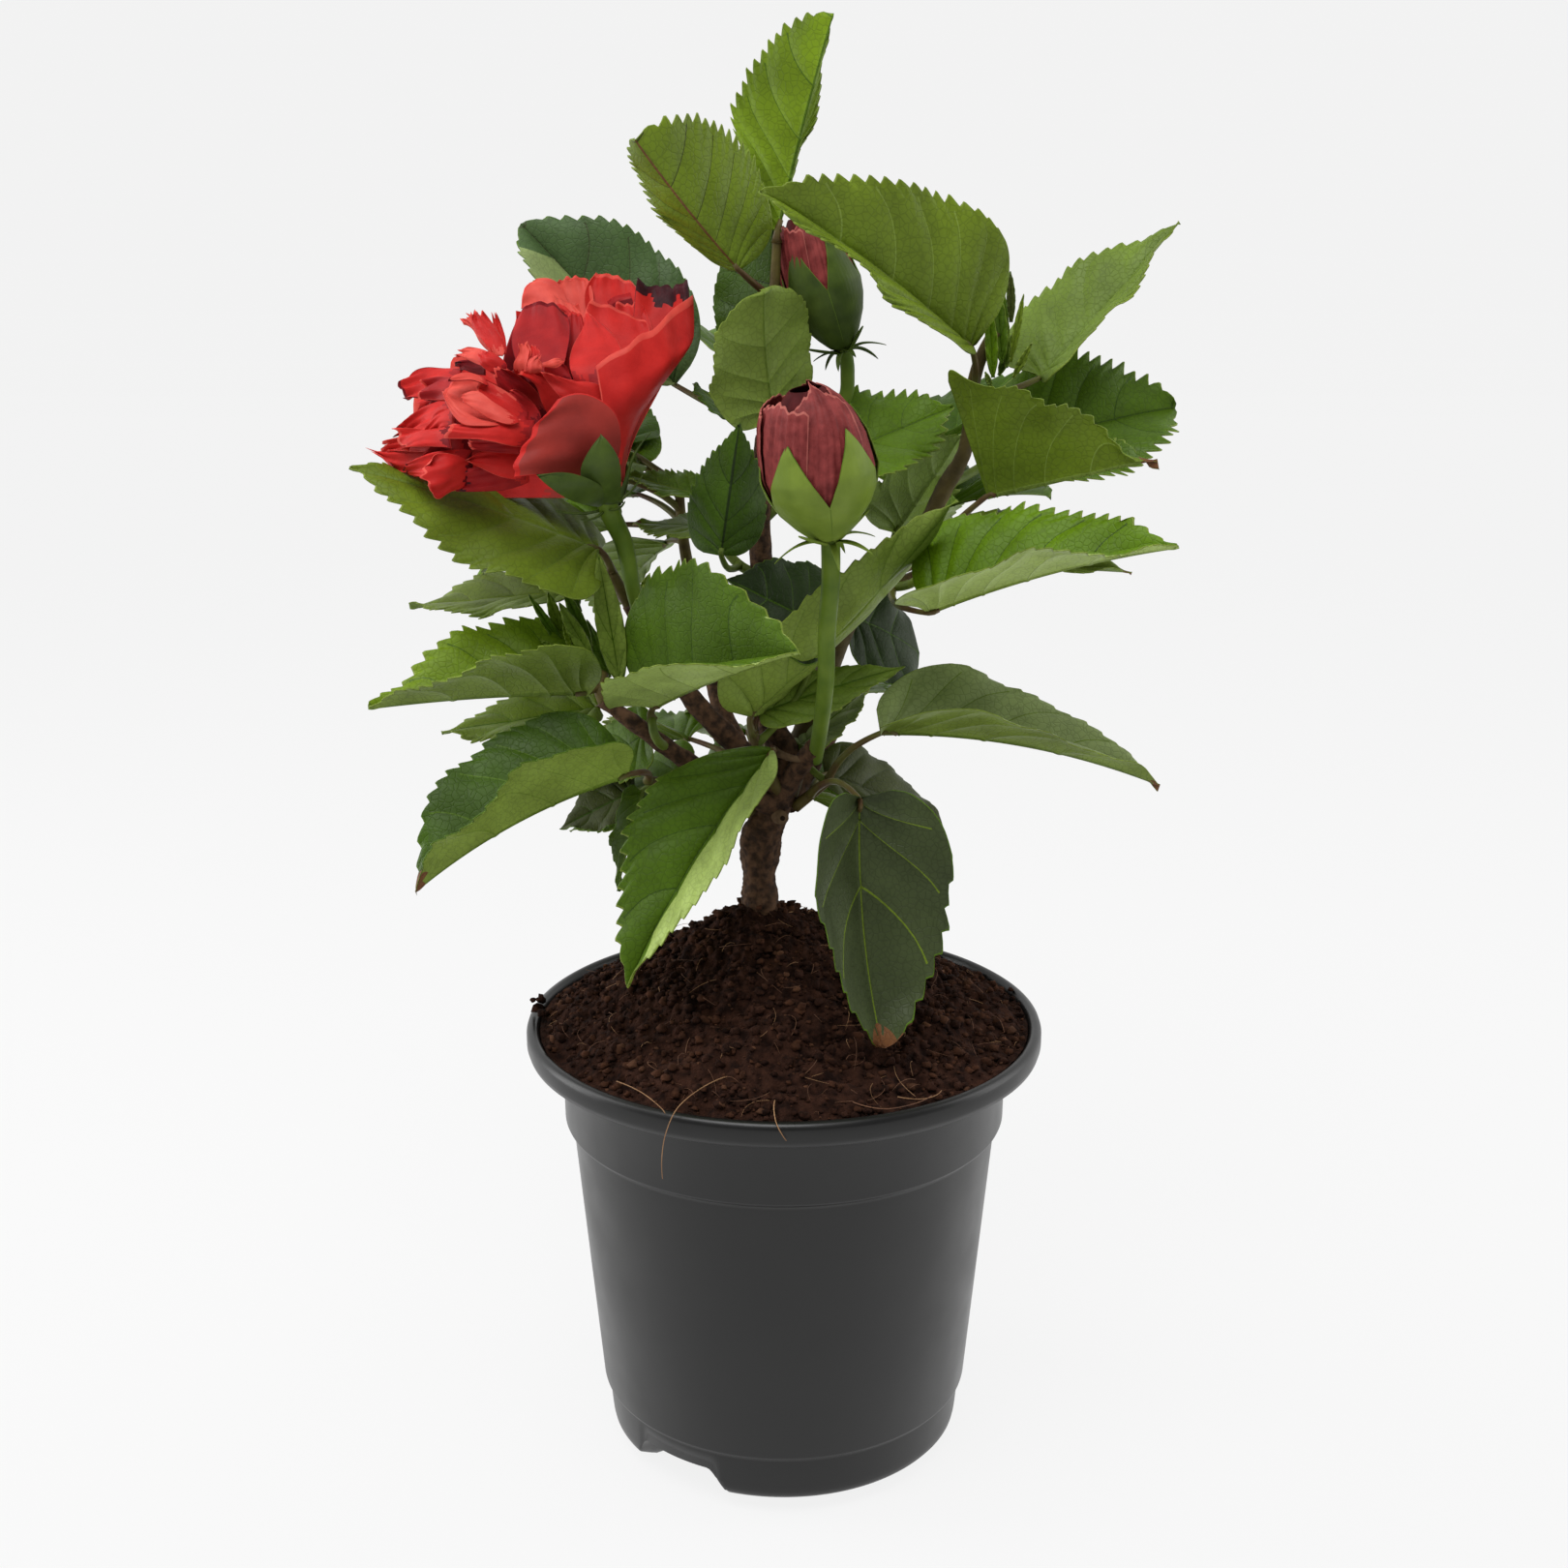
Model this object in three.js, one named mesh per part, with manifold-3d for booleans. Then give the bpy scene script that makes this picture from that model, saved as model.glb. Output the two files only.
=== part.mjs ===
// A small double-flowered hibiscus shrub together with its round nursery pot.
// Millimetres, +Z up. The origin is the middle of the pot's flat underside.
// The shrub's front, where the big flower shows best, faces -Y.
import * as THREE from "three";
import { mergeVertices } from "three/addons/utils/BufferGeometryUtils.js";
import Module from "manifold-3d";

const wasm = await Module();
wasm.setup();

// Driving sizes
const GAP = 0.3; // clearance between two solids that touch on the real plant
const POT_TOP = 132; // height of the pot
const RIM_R = 75; // outer radius of the rolled rim
const COLLAR_R = 64.4; // plain band under the rim
const COLLAR_Z = 103.3; // its lower edge
const WALL_TOP_R = 62.4; // tapered wall just under the band
const RIDGE_R = 54.9; // raised line near the foot
const RIDGE_Z = 19.2;
const FOOT_R = 52.4; // foot below that line
const BASE_R = 43.8; // flat that the pot stands on
const WALL = 1.6; // thickness of the plastic
const ROUND = 32; // sides of every turned solid
const SOIL_TOP = 165; // flat top of the heap of potting mix round the trunk
const HEAP_X = -7; // the heap and the trunk stand a little left of the middle
const LEAF_THICK = 0.9; // a seventieth of the longest leaf
const PETIOLE_R = 1.1;
const SCRAP_MM3 = 3;
const SMALLEST = 0.3; // joins leave slivers finer than this, which are taken out

const COLORS = {
  pot: 0x3a3838,
  soil: 0x3c2820,
  bark: 0x6a5138,
  leaf: 0x4f8a2c,
  petal: 0xc8301f,
  bud: 0x8e3b3e,
};

const plant = new THREE.Group();
plant.name = "hibiscus_shrub_in_pot";

// Adds one solid to the group as a named mesh with a material of its own.
// Joining may seal a hollow or cut off a scrap: only the one outer body is kept.
function addNode(name, manifold, color, roughness) {
  const bodies = manifold.simplify(SMALLEST).decompose().sort((a, b) => b.volume() - a.volume());
  if (bodies.length > 1 && bodies[1].volume() > SCRAP_MM3) throw new Error(`${name}: a leaf is loose`);
  const made = bodies[0].getMesh();
  const g = new THREE.BufferGeometry();
  g.setAttribute("position", new THREE.BufferAttribute(made.vertProperties, 3));
  g.setIndex(new THREE.BufferAttribute(made.triVerts, 1));
  g.computeVertexNormals();
  const mesh = new THREE.Mesh(g, new THREE.MeshStandardMaterial({ color, roughness }));
  mesh.name = name;
  plant.add(mesh);
}

// A closed geometry as a solid that can be joined or cut.
function solid(geometry) {
  geometry.deleteAttribute("normal");
  geometry.deleteAttribute("uv");
  const g = mergeVertices(geometry, 1e-4);
  return new wasm.Manifold(
    new wasm.Mesh({
      numProp: 3,
      vertProperties: g.attributes.position.array,
      triVerts: new Uint32Array(g.index.array),
    }),
  );
}

function join(solids) {
  return solids.reduce((a, b) => a.add(b));
}

// The same small generator of random numbers gives every run the same plant.
function seeded(seed) {
  let state = seed;
  return () => {
    state = (state * 16807) % 2147483647;
    return state / 2147483647;
  };
}

const rad = THREE.MathUtils.degToRad;
const vec = (p) => new THREE.Vector3(...p);

// Unit vector from a heading (0 is +X, 90 is +Y) and a rise above the horizontal.
function toward(heading, rise) {
  const h = rad(heading);
  const r = rad(rise);
  return new THREE.Vector3(Math.cos(r) * Math.cos(h), Math.cos(r) * Math.sin(h), Math.sin(r));
}

// Turned body from a list of [radius, height] that starts and ends on the axis.
function turned(profile, sides = ROUND) {
  return solid(new THREE.LatheGeometry(profile.map(([r, z]) => new THREE.Vector2(r, z)), sides)
    .rotateX(Math.PI / 2));
}

// Tapering round limb through a few points: a cylinder bent along the curve.
function limb(points, r0, r1, sides = 7, steps = 6) {
  const curve = new THREE.CatmullRomCurve3(points.map(vec));
  const frames = curve.computeFrenetFrames(steps);
  const g = new THREE.CylinderGeometry(1, 1, 1, sides, steps);
  const p = g.attributes.position;
  for (let i = 0; i < p.count; i++) {
    const u = Math.min(1, Math.max(0, p.getY(i) + 0.5));
    const k = Math.round(u * steps);
    const r = r0 + (r1 - r0) * u;
    const q = curve.getPointAt(u)
      .addScaledVector(frames.normals[k], r * p.getX(i))
      .addScaledVector(frames.binormals[k], -r * p.getZ(i));
    p.setXYZ(i, q.x, q.y, q.z);
  }
  return solid(g);
}

// Outlines: share of the full half-width at a share of the length.
const OUTLINE_RISE = 0.45; // a rounded base
const OUTLINE_FALL = 1.15; // a drawn-out tip
const leafShare = (u) => u ** OUTLINE_RISE * (1 - u) ** OUTLINE_FALL;
const OUTLINE_PEAK = leafShare(OUTLINE_RISE / (OUTLINE_RISE + OUTLINE_FALL));
const leafOutline = (u) => leafShare(u) / OUTLINE_PEAK;
const petalOutline = (u) => Math.pow(Math.sin(Math.PI * Math.pow(u, 1.6) * 0.86), 0.7) + 0.12;
const sepalOutline = (u) => Math.pow(1 - u, 0.8) * (0.75 + 0.9 * u);

// Axes of a blade: along it, across it, and out of its upper side.
function bladeAxes(heading, rise, face) {
  const t = toward(heading, rise);
  const f = toward(...face);
  const n = f.addScaledVector(t, -f.dot(t)).normalize();
  return { t, s: new THREE.Vector3().crossVectors(t, n), n };
}

// Thin closed blade. It runs from `at` along its heading and rise, its upper side
// turned to `face`, its two halves folded up by `fold` and its midrib bowed by `arch`.
function blade(spec) {
  const {
    at, heading, rise, length, half, face, fold = 0, arch = 0,
    thick = LEAF_THICK, rows = 8, toothed = true, outline = leafOutline, lobe = 0.4,
  } = spec;
  const { t, s, n } = bladeAxes(heading, rise, face);
  const cos = Math.cos(rad(fold));
  const sin = Math.sin(rad(fold));
  const g = new THREE.BoxGeometry(1, 1, 1, 2, rows, 1);
  const p = g.attributes.position;
  for (let i = 0; i < p.count; i++) {
    const side = Math.round(p.getX(i) * 2);
    const row = Math.round((p.getY(i) + 0.5) * rows);
    const u = row / rows;
    const tooth = toothed && row > 1 && row < rows ? (row % 2 ? 1 : -1) : 0;
    const w = Math.max(0.5, half * outline(Math.min(1, Math.max(0, u))) * (1 + 0.05 * tooth));
    const along = u * length - side * side * (lobe * w * (1 - u) ** 2 - (0.12 * length * (tooth + 1)) / rows);
    const q = vec(at)
      .addScaledVector(t, along)
      .addScaledVector(n, arch * length * 4 * u * (1 - u) + Math.abs(side) * w * sin)
      .addScaledVector(s, side * w * cos);
    const lift = p.getZ(i) * thick;
    if (side === 0) q.addScaledVector(n, lift / Math.max(0.6, cos));
    else q.addScaledVector(n, lift * cos).addScaledVector(s, -side * lift * sin);
    p.setXYZ(i, q.x, q.y, q.z);
  }
  return solid(g);
}

// Leaf with its stalk: the stalk leaves the stem and runs on under the blade.
function leafOnStalk(stem, row, rows) {
  const [from, at, heading, rise, length, half, faceHeading, faceRise, fold, arch] = row;
  const face = [faceHeading, faceRise];
  const { t, n } = bladeAxes(heading, rise, face);
  const start = stem.getPointAt(from);
  const end = vec(at);
  const bend = start.clone().lerp(end, 0.55).addScaledVector(t, -0.12 * start.distanceTo(end));
  const inside = end.clone().addScaledVector(t, 0.06 * length).addScaledVector(n, 0.22 * arch * length);
  const stalk = limb([start, bend, end, inside].map((v) => v.toArray()), PETIOLE_R * 1.2, PETIOLE_R * 0.9, 3, 3);
  return stalk.add(blade({ at, heading, rise, length, half, face, fold, arch, rows }));
}

// Narrow folded young leaf that stands at a growing tip.
function youngLeaf(at, heading, rise, length) {
  return blade({
    at, heading, rise, length, half: length * 0.17, face: [heading + 180, 90 - rise], fold: 35,
    rows: 4, toothed: false, lobe: 0,
  });
}

// One mass of foliage: its stem, leaves set by hand where they show, and leaves by rule.
function foliage(name, stemPoints, r0, r1, leaves, extras = [], rows = 7) {
  const stem = new THREE.CatmullRomCurve3(stemPoints.map(vec));
  const pieces = [limb(stemPoints, r0, r1, 5, 4)];
  leaves.forEach((row) => pieces.push(leafOnStalk(stem, row, row[4] > 50 ? rows : rows - 2)));
  addNode(name, join([...pieces, ...extras]), COLORS.leaf, 0.55);
}

// Leaves that the photo hides: they turn round the stem by the golden angle,
// inside the fan of headings that belongs to the mass.
function leavesByRule(stemPoints, seed, count, fan, rise, reach, size) {
  const random = seeded(seed);
  const stem = new THREE.CatmullRomCurve3(stemPoints.map(vec));
  const rows = [];
  for (let i = 0; i < count; i++) {
    const from = 0.3 + (0.66 * (i + 0.5)) / count;
    const heading = fan[0] + (((i * 0.618 + 0.1) % 1) * (fan[1] - fan[0]));
    const up = rise[0] + (rise[1] - rise[0]) * ((i + random()) / count);
    const stalk = reach[0] + (reach[1] - reach[0]) * random();
    const length = size[0] + (size[1] - size[0]) * random();
    const at = stem.getPointAt(from).addScaledVector(toward(heading, up), stalk).toArray();
    const turn = (random() - 0.5) * 30;
    rows.push([
      from, at, heading + turn, up - 28 - 14 * random(), length, length * (0.33 + 0.05 * random()),
      heading + 180, 62 + 10 * random(), 14 + 22 * random(), 0.04,
    ]);
  }
  return rows;
}

// Pot
function pot() {
  const body = turned([
    [0, 0], [BASE_R, 0], [45.2, 0.8], [51.2, 4.6], [FOOT_R, 6.6], [53.4, RIDGE_Z - 1.4], [RIDGE_R, RIDGE_Z - 0.5],
    [RIDGE_R, RIDGE_Z + 0.5], [WALL_TOP_R, COLLAR_Z - 1.6], [COLLAR_R, COLLAR_Z], [COLLAR_R + 0.4, 123.6],
    [73.4, 124.6], [74.6, 125.6], [RIM_R, 127.2], [RIM_R, 130.2], [74.3, 131.6], [73, POT_TOP], [71.9, 131.5],
    [71.3, 130], [70.8, 128.2], [COLLAR_R - 0.8, 126.2], [COLLAR_R - WALL, 124.4],
    [WALL_TOP_R - WALL, COLLAR_Z - 2],
    [RIDGE_R - WALL - 0.6, RIDGE_Z], [50.6, 8], [47, 5], [0, 5],
  ]);
  return join([body]).subtract(join(drainNotches()));
}

// Arched notches in the foot: a wide one left of the front, and its likes round the foot.
function drainNotches() {
  return [-126, -54, 18, 90, 162].map((heading) => {
    const cut = new THREE.CylinderGeometry(15.5, 15.5, 12, 16);
    cut.scale(1, 1, 0.36).rotateZ(Math.PI / 2);
    cut.rotateZ(rad(heading));
    const out = toward(heading, 0).multiplyScalar(52);
    return solid(cut.translate(out.x, out.y, 0));
  });
}

// Potting mix: it fills the pot and is heaped round the trunk.
function soil() {
  const heap = (r) => 130.4 + (SOIL_TOP - 130.4) * (1 - Math.min(1, Math.max(0, r - 9) / 60) ** 1.15);
  const top = [71, 69, 62, 54, 45, 36, 27, 18, 9].map((r) => [Math.min(r, 70.6), r >= 69 ? 130 : heap(r)]);
  const made = new THREE.LatheGeometry(
    [
      [0, 5.3], [46.6, 5.3], [50.1, 8.2], [RIDGE_R - WALL - 1.1, RIDGE_Z], [WALL_TOP_R - WALL - 0.5, COLLAR_Z - 2], [COLLAR_R - WALL - 0.5, 124.8], [COLLAR_R - 1.2, 126.7], [70.2, 128.6],
      ...top.slice(0, 1), ...top.slice(2), [0, SOIL_TOP],
    ].map(([r, z]) => new THREE.Vector2(r, z)),
    ROUND,
  ).rotateX(Math.PI / 2);
  const p = made.attributes.position;
  for (let i = 0; i < p.count; i++) {
    const r = Math.hypot(p.getX(i), p.getY(i));
    if (p.getZ(i) > 130.2) p.setX(i, p.getX(i) + HEAP_X * (1 - r / 71));
  }
  return solid(made);
}

// Trunk: root flare on the mix, a lean to the right, a swollen fork.
const TRUNK = [[HEAP_X, 0, SOIL_TOP + GAP], [HEAP_X, 0, 177], [-6.9, 0, 186], [-4.1, 0, 194], [0.2, 0, 200], [1.2, 0, 206]];
function trunk() {
  const flare = limb([[HEAP_X, 0, SOIL_TOP + GAP], [HEAP_X, 0, 174]], 7.8, 5.6, 10, 2);
  const stem = limb(TRUNK, 6.4, 4.9, 10, 7);
  const knot = solid(new THREE.SphereGeometry(3.2, 8, 6).translate(1.2, -2, 193.5));
  return join([stem, flare, knot]);
}

// Boughs: each one tapering limb from the trunk to where its mass begins.
const BOUGHS = {
  bough_leader: [[[0.97, 0.93, 208.2], [0, 2, 211.5], [-3.6, 4, 218.3], [-5.7, 6, 237.5], [-6.2, 8, 259.2], [-6.5, 8, 272.9],
    [-6.1, 7, 289], [-5.4, 6, 299.6]], 3.6, 2.3],
  bough_front: [[[5.71, -5.5, 203.51], [7.6, -9.6, 211.6], [9.4, -12, 215.8]], 2.6, 2.9],
  bough_right: [[[6.72, 4.48, 205.31], [8.6, 13, 221.5], [17.2, 18, 243.4], [26.2, 18, 255.2], [34.1, 14, 268.6],
    [39.3, 12, 273.6], [44.4, 10, 284.7], [49.2, 6, 294.5], [50.8, 4, 306.6]], 3, 2],
  bough_left_upper: [[[-5.28, -2.03, 205.22], [-16.2, -6, 218.2], [-25.4, -8, 228.9], [-31.9, -8, 239.4],
    [-37.7, -8, 248.7], [-42, -8, 255.8]], 2.9, 2.3],
  bough_left_lower: [[[-6.63, -3.37, 198.48], [-21.5, -11, 208.6], [-29.3, -14, 214.6], [-41.1, -18, 224.8],
    [-49, -20, 231.6]], 2.6, 2],
  bough_back_left: [[[-5.38, 4.46, 199.15], [-16, 20, 214], [-23, 32, 234], [-27, 40, 252]], 2.8, 2],
  bough_back_right: [[[2.69, 6.3, 199.75], [14, 24, 212], [24, 36, 228], [30, 43, 240]], 2.8, 2],
};

// Foliage. Each row: place on the stem (0-1), start of the blade, heading, rise, length, half-width,
// heading and rise of the upper side, fold of each half, bow of the midrib.
const TOP_STEM = [[-5.28, 6, 300.34], [-4, 8, 318], [-2.6, 10, 338], [-1.9, 10, 352]];
const TOP = [
  [0.98, [-1.8, 10, 354], 42, 69, 60, 19, 141, 4, 29, 0.02],
  [0.72, [-12, 2, 344], -148, 47, 45, 25, -88, -25, -40, 0.05],
  [0.14, [-31, 34, 311], 167, 44, 63, 25, -66, 32, 34, 0],
  [0.12, [-5, -2, 306], -99, 70, 35, 16, 132, 13, 10, 0.05],
  [0.2, [-3, 12, 320], 90, 72, 32, 17, -80, 18, -44, 0],
  [0.12, [-17, 14, 299], 140, 31, 20, 8, -17, 57, 10, 0],
];

const MID_LEFT_STEM = [[-9.9, 8, 262], [-13, 9, 264], [-18, 12, 270]];
const MID_LEFT = [
  [0.4, [-17, -12, 270], -56, 75, 37, 14, -91, -12, -42, 0.04],
  [0.9, [-24, 16, 282], 163, 12, 22, 8, -74, 69, 20, 0],
  [0.95, [-21, 18, 273], 150, -3, 26, 9, -134, 78, 5, 0],
];

const INNER_STEM = [[-2.9, 9, 278], [3, 11, 284], [10, 12, 290]];
const INNER = [
  [0.96, [15, 12, 294], 17, 19, 36, 19, -101, 54, 16, 0],
];

const RIGHT_TOP_STEM = [[50.9, 4, 307.2], [52, 4, 317], [57, 4, 328]];
const RIGHT_TOP = [
  [0.35, [50, -2, 324], -157, 35, 73, 29, -52, 20, 41, 0.04],
  [0.3, [70, 10, 315], 20, 44, 58, 19, -144, 45, 26, 0],
];

const RIGHT_FRONT_STEM = [[29.5, 14.02, 257.79], [35, 4, 259], [39, 1, 264]];
const RIGHT_FRONT = [
  [0.9, [54.5, -10, 285.5], -22, 13, 50, 25, 134, 68, 60, 0],
  [0.3, [38, -22, 256], -18, 18, 69, 25, -152, 65, 42, 0.03],
];

const RIGHT_REAR_STEM = [[47.45, 10.91, 286.44], [54, 18, 289], [58, 20, 292]];
const RIGHT_REAR = [
  [0.95, [64, 20, 294], 14, 12, 50, 22, -87, 44, 22, 0.05],
];

const RIGHT_BACK_STEM = [[24.14, 21.26, 250.2], [27, 26, 252], [33, 28, 255]];
const RIGHT_BACK = [
  [0.95, [46, 24, 261], 10, -3, 57, 17, -78, 56, 44, 0],
  [0.8, [32, 28, 270], 11, 54, 35, 17, 132, 21, 12, 0],
  [0.2, [18, 26, 246], 32, -29, 30, 17, -37, 33, 2, 0.05],
];

const LEFT_UPPER_STEM = [[-42.21, -8, 256.22], [-45, -8.5, 261], [-47, -9, 265]];
const LEFT_UPPER = [
  [0.95, [-50, -10, 271], -171, 20, 69, 23, -45, 59, -5, 0.02],
  [0.3, [-59, 8, 256], 173, -6, 48, 17, -134, 79, 14, 0],
];

const LEFT_LOWER_STEM = [[-50.47, -20.46, 233.07], [-50, -18, 234], [-49, -15, 238]];
const LEFT_LOWER = [
  [0.6, [-53.5, -21, 234], -164, -1, 58, 24, -81, 83, 52, 0.02],
  [0.6, [-52, -1, 225], 180, -10, 45, 16, -128, 73, 11, 0],
];

const LEFT_FRONT_STEM = [[-33.24, -19.08, 217.73], [-35, -21.4, 222], [-35.8, -20.4, 227]];
const LEFT_FRONT = [
  [0.95, [-36, -19, 229], -46, 22, 63, 29, -157, 43, 57, 0.03],
];

const LEFT_UNDER_STEM = [[-10.03, 0.29, 194.9], [-20, -3, 199], [-30, -8, 204], [-38, -16, 208]];
const LEFT_UNDER = [
  [0.98, [-41, -35, 215], -151, -20, 65, 26, -158, 70, 54, 0.05],
  [0.5, [-39, 6, 216], 163, -37, 26, 12, -110, 50, 6, 0],
  [0.7, [-43, 4, 199], -175, -26, 24, 12, -120, 60, 12, 0],
  [0.75, [-40, -6, 202], -127, -69, 29, 11, 165, 8, 18, 0.02],
  [0.25, [-27, 6, 206], 170, -31, 42, 15, -120, 58, 4, 0],
];

const CENTER_STEM = [[-2.75, -5.22, 203.45], [-6, -9.6, 212], [-8.4, -11, 220.6]];
const CENTER = [
  [0.95, [-9.2, -12.6, 225.5], -8, 48, 82, 20, -44, -36, -15, 0.03],
  [0.9, [-7, -8.5, 225], 10, 15, 43, 10, -100, 45, 8, 0.03],
  [0.85, [9, -2, 249], -175, 27, 28, 17, -52, 47, 14, 0],
  [0.5, [-3, -18, 217], -139, -47, 76, 21, -123, 42, 38, 0.05],
];

const RIGHT_LOW_STEM = [[6.48, -0.77, 197.59], [9, -2, 201], [13, -4, 205]];
const RIGHT_LOW = [
  [0.95, [27, -14, 221], 4, -13, 80, 22, -31, 74, 42, 0.06],
  [0.4, [20, -34, 208], -72, -75, 67, 27, 121, -15, -33, 0.05],
  [0.5, [12, 8, 203], 18, -29, 45, 17, -27, 52, 14, 0.04],
  [0.9, [16, 2, 213], 27, 33, 22, 10, -147, 55, 6, 0],
];

const BACK_LEFT_STEM = [[-27.08, 40.15, 252.3], [-30, 46, 266], [-31, 48, 284]];
const BACK_RIGHT_STEM = [[30.3, 43.5, 240.8], [33, 48, 258], [34, 50, 278]];
const BACK_TOP_STEM = [[-6.32, 10.32, 289.9], [-5, 24, 298], [-3, 34, 310]];
const BACK_LOW_STEM = [[-8.51, 6.08, 189.83], [-9, 18, 196], [-8, 30, 206]];

// Flower and buds
// Petal that starts at `at`, leans out from the flower's axis and opens at its end.
function petalRing(at, axis, count, phase, seed, size) {
  const random = seeded(seed);
  const side = new THREE.Vector3(0, 0, 1).cross(axis).normalize();
  const other = new THREE.Vector3().crossVectors(axis, side);
  const petals = [];
  for (let i = 0; i < count; i++) {
    const a = rad(phase + (360 * i) / count + 14 * (random() - 0.5));
    const out = side.clone().multiplyScalar(Math.cos(a)).addScaledVector(other, Math.sin(a));
    const lean = rad(size.lean + 16 * (random() - 0.5));
    const dir = axis.clone().multiplyScalar(Math.cos(lean)).addScaledVector(out, Math.sin(lean));
    const inward = axis.clone().multiplyScalar(Math.sin(lean)).addScaledVector(out, -Math.cos(lean));
    const heading = THREE.MathUtils.radToDeg(Math.atan2(dir.y, dir.x));
    const rise = THREE.MathUtils.radToDeg(Math.asin(dir.z));
    const face = [
      THREE.MathUtils.radToDeg(Math.atan2(inward.y, inward.x)),
      THREE.MathUtils.radToDeg(Math.asin(inward.z)),
    ];
    petals.push(blade({
      at: at.clone().addScaledVector(out, size.start ?? 1).toArray(), heading, rise,
      length: size.length * (0.9 + 0.2 * random()), half: size.half, face, fold: size.fold,
      arch: size.arch, thick: 0.9, rows: size.rows, toothed: false, outline: petalOutline, lobe: 0,
    }));
  }
  return petals;
}

const BLOOM_BASE = vec([-47.3, -16, 284]);
const BLOOM_AXIS = vec([-0.46, -0.33, 0.82]).normalize();
function bloom() {
  const stalk = limb([[-40.2, -12.5, 252.1], [-41, -12.6, 262], [-43, -12, 272.9], [-46.6, -15.4, 283]], 1.9, 1.8, 7, 5);
  const receptacle = solid(new THREE.SphereGeometry(6, 10, 7).translate(...BLOOM_BASE.toArray()));
  const throat = BLOOM_BASE.clone().addScaledVector(BLOOM_AXIS, 4);
  return join([
    stalk, receptacle,
    ...petalRing(throat, BLOOM_AXIS, 5, 20, 11, { lean: 52, length: 56, half: 25, fold: 16, arch: -0.08, rows: 4 }),
    ...petalRing(throat, BLOOM_AXIS, 5, 56, 12, { lean: 40, length: 50, half: 17, fold: 24, arch: -0.05, rows: 3 }),
    ...petalRing(throat, BLOOM_AXIS, 4, 10, 13, { lean: 25, length: 50, half: 12, fold: 30, arch: 0, rows: 2 }),
    ...petalRing(throat, BLOOM_AXIS, 2, 60, 14, { lean: 9, length: 48, half: 11, fold: 34, arch: 0, rows: 2 }),
    ...sepals(BLOOM_BASE, BLOOM_AXIS, 5, 20, 44),
  ]);
}

// Sepals or bracts: short pointed blades round an axis.
function sepals(at, axis, half, length, lean, count = 5) {
  const side = new THREE.Vector3(0, 0, 1).cross(axis).normalize();
  const other = new THREE.Vector3().crossVectors(axis, side);
  return Array.from({ length: count }, (_, i) => {
    const a = rad(12 + (360 * i) / count);
    const out = side.clone().multiplyScalar(Math.cos(a)).addScaledVector(other, Math.sin(a));
    const dir = axis.clone().multiplyScalar(Math.cos(rad(lean))).addScaledVector(out, Math.sin(rad(lean)));
    return blade({
      at: at.clone().addScaledVector(out, half * 0.5).toArray(),
      heading: THREE.MathUtils.radToDeg(Math.atan2(dir.y, dir.x)), rise: THREE.MathUtils.radToDeg(Math.asin(dir.z)),
      length, half, face: [THREE.MathUtils.radToDeg(Math.atan2(-out.y, -out.x)), THREE.MathUtils.radToDeg(Math.asin(-out.z))],
      fold: 12, thick: 0.9, rows: 3, toothed: false, outline: sepalOutline, lobe: 0,
    });
  });
}

// Closed bud: turned body on its stalk, with bracts under it.
function closedBud(stalk, stalkR, axis, radius, height) {
  const base = vec(stalk[stalk.length - 1]);
  const profile = [[0, 0], [0.5, 0.03], [0.88, 0.17], [1, 0.38], [0.92, 0.64], [0.64, 0.88], [0.2, 1], [0, 0.98]];
  const body = new THREE.LatheGeometry(profile.map(([r, z]) => new THREE.Vector2(r * radius, z * height)), 10);
  body.applyQuaternion(new THREE.Quaternion().setFromUnitVectors(new THREE.Vector3(0, 1, 0), axis));
  body.translate(...base.toArray());
  const inside = base.clone().addScaledVector(axis, height * 0.2).toArray();
  return join([
    limb([...stalk, inside], stalkR, stalkR * 1.1, 7, 6), solid(body),
    ...sepals(base.clone().addScaledVector(axis, 1), axis, 1.1, radius * 1.3, 62, 6),
  ]);
}

addNode("pot", pot(), COLORS.pot, 0.5);
addNode("soil", soil(), COLORS.soil, 0.95);
addNode("trunk", trunk(), COLORS.bark, 0.9);
for (const [name, [points, r0, r1]] of Object.entries(BOUGHS)) {
  addNode(name, limb(points, r0, r1, 7, points.length + 1), COLORS.bark, 0.85);
}

addNode("bloom", bloom(), COLORS.petal, 0.6);
addNode("bud_front", closedBud(
  [[9.75, -12.5, 216.55], [11, -27, 236.6], [11.2, -34, 253], [12, -37, 266.6], [11.5, -39, 278.6]], 2.1,
  vec([-0.1, -0.12, 1]).normalize(), 14.8, 41), COLORS.bud, 0.7);
addNode("bud_upper", closedBud(
  [[-3.65, 9.95, 290.9], [6, 14, 298], [15, 17, 308], [15.4, 17, 316], [14.9, 16, 323]], 1.7,
  vec([-0.26, 0, 1]).normalize(), 8.6, 31), COLORS.bud, 0.7);

foliage("foliage_top", TOP_STEM, 2.3, 1.2, TOP);
foliage("foliage_mid_left", MID_LEFT_STEM, 1.5, 1.2, MID_LEFT);
foliage("foliage_inner", INNER_STEM, 1.5, 1.2, INNER);
foliage("foliage_right_top", RIGHT_TOP_STEM, 2, 1.6, RIGHT_TOP, [
  youngLeaf([55, 3, 322], 160, 74, 22), youngLeaf([57, 3, 326], 60, 80, 20), youngLeaf([56, 3.4, 322], 10, 55, 16),
  solid(new THREE.SphereGeometry(3, 8, 6).scale(1, 1, 2.2).translate(57.5, 4, 332)),
]);
foliage("foliage_right_front", RIGHT_FRONT_STEM, 1.5, 1.2, RIGHT_FRONT);
foliage("foliage_right_rear", RIGHT_REAR_STEM, 1.4, 1.2, RIGHT_REAR);
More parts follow.
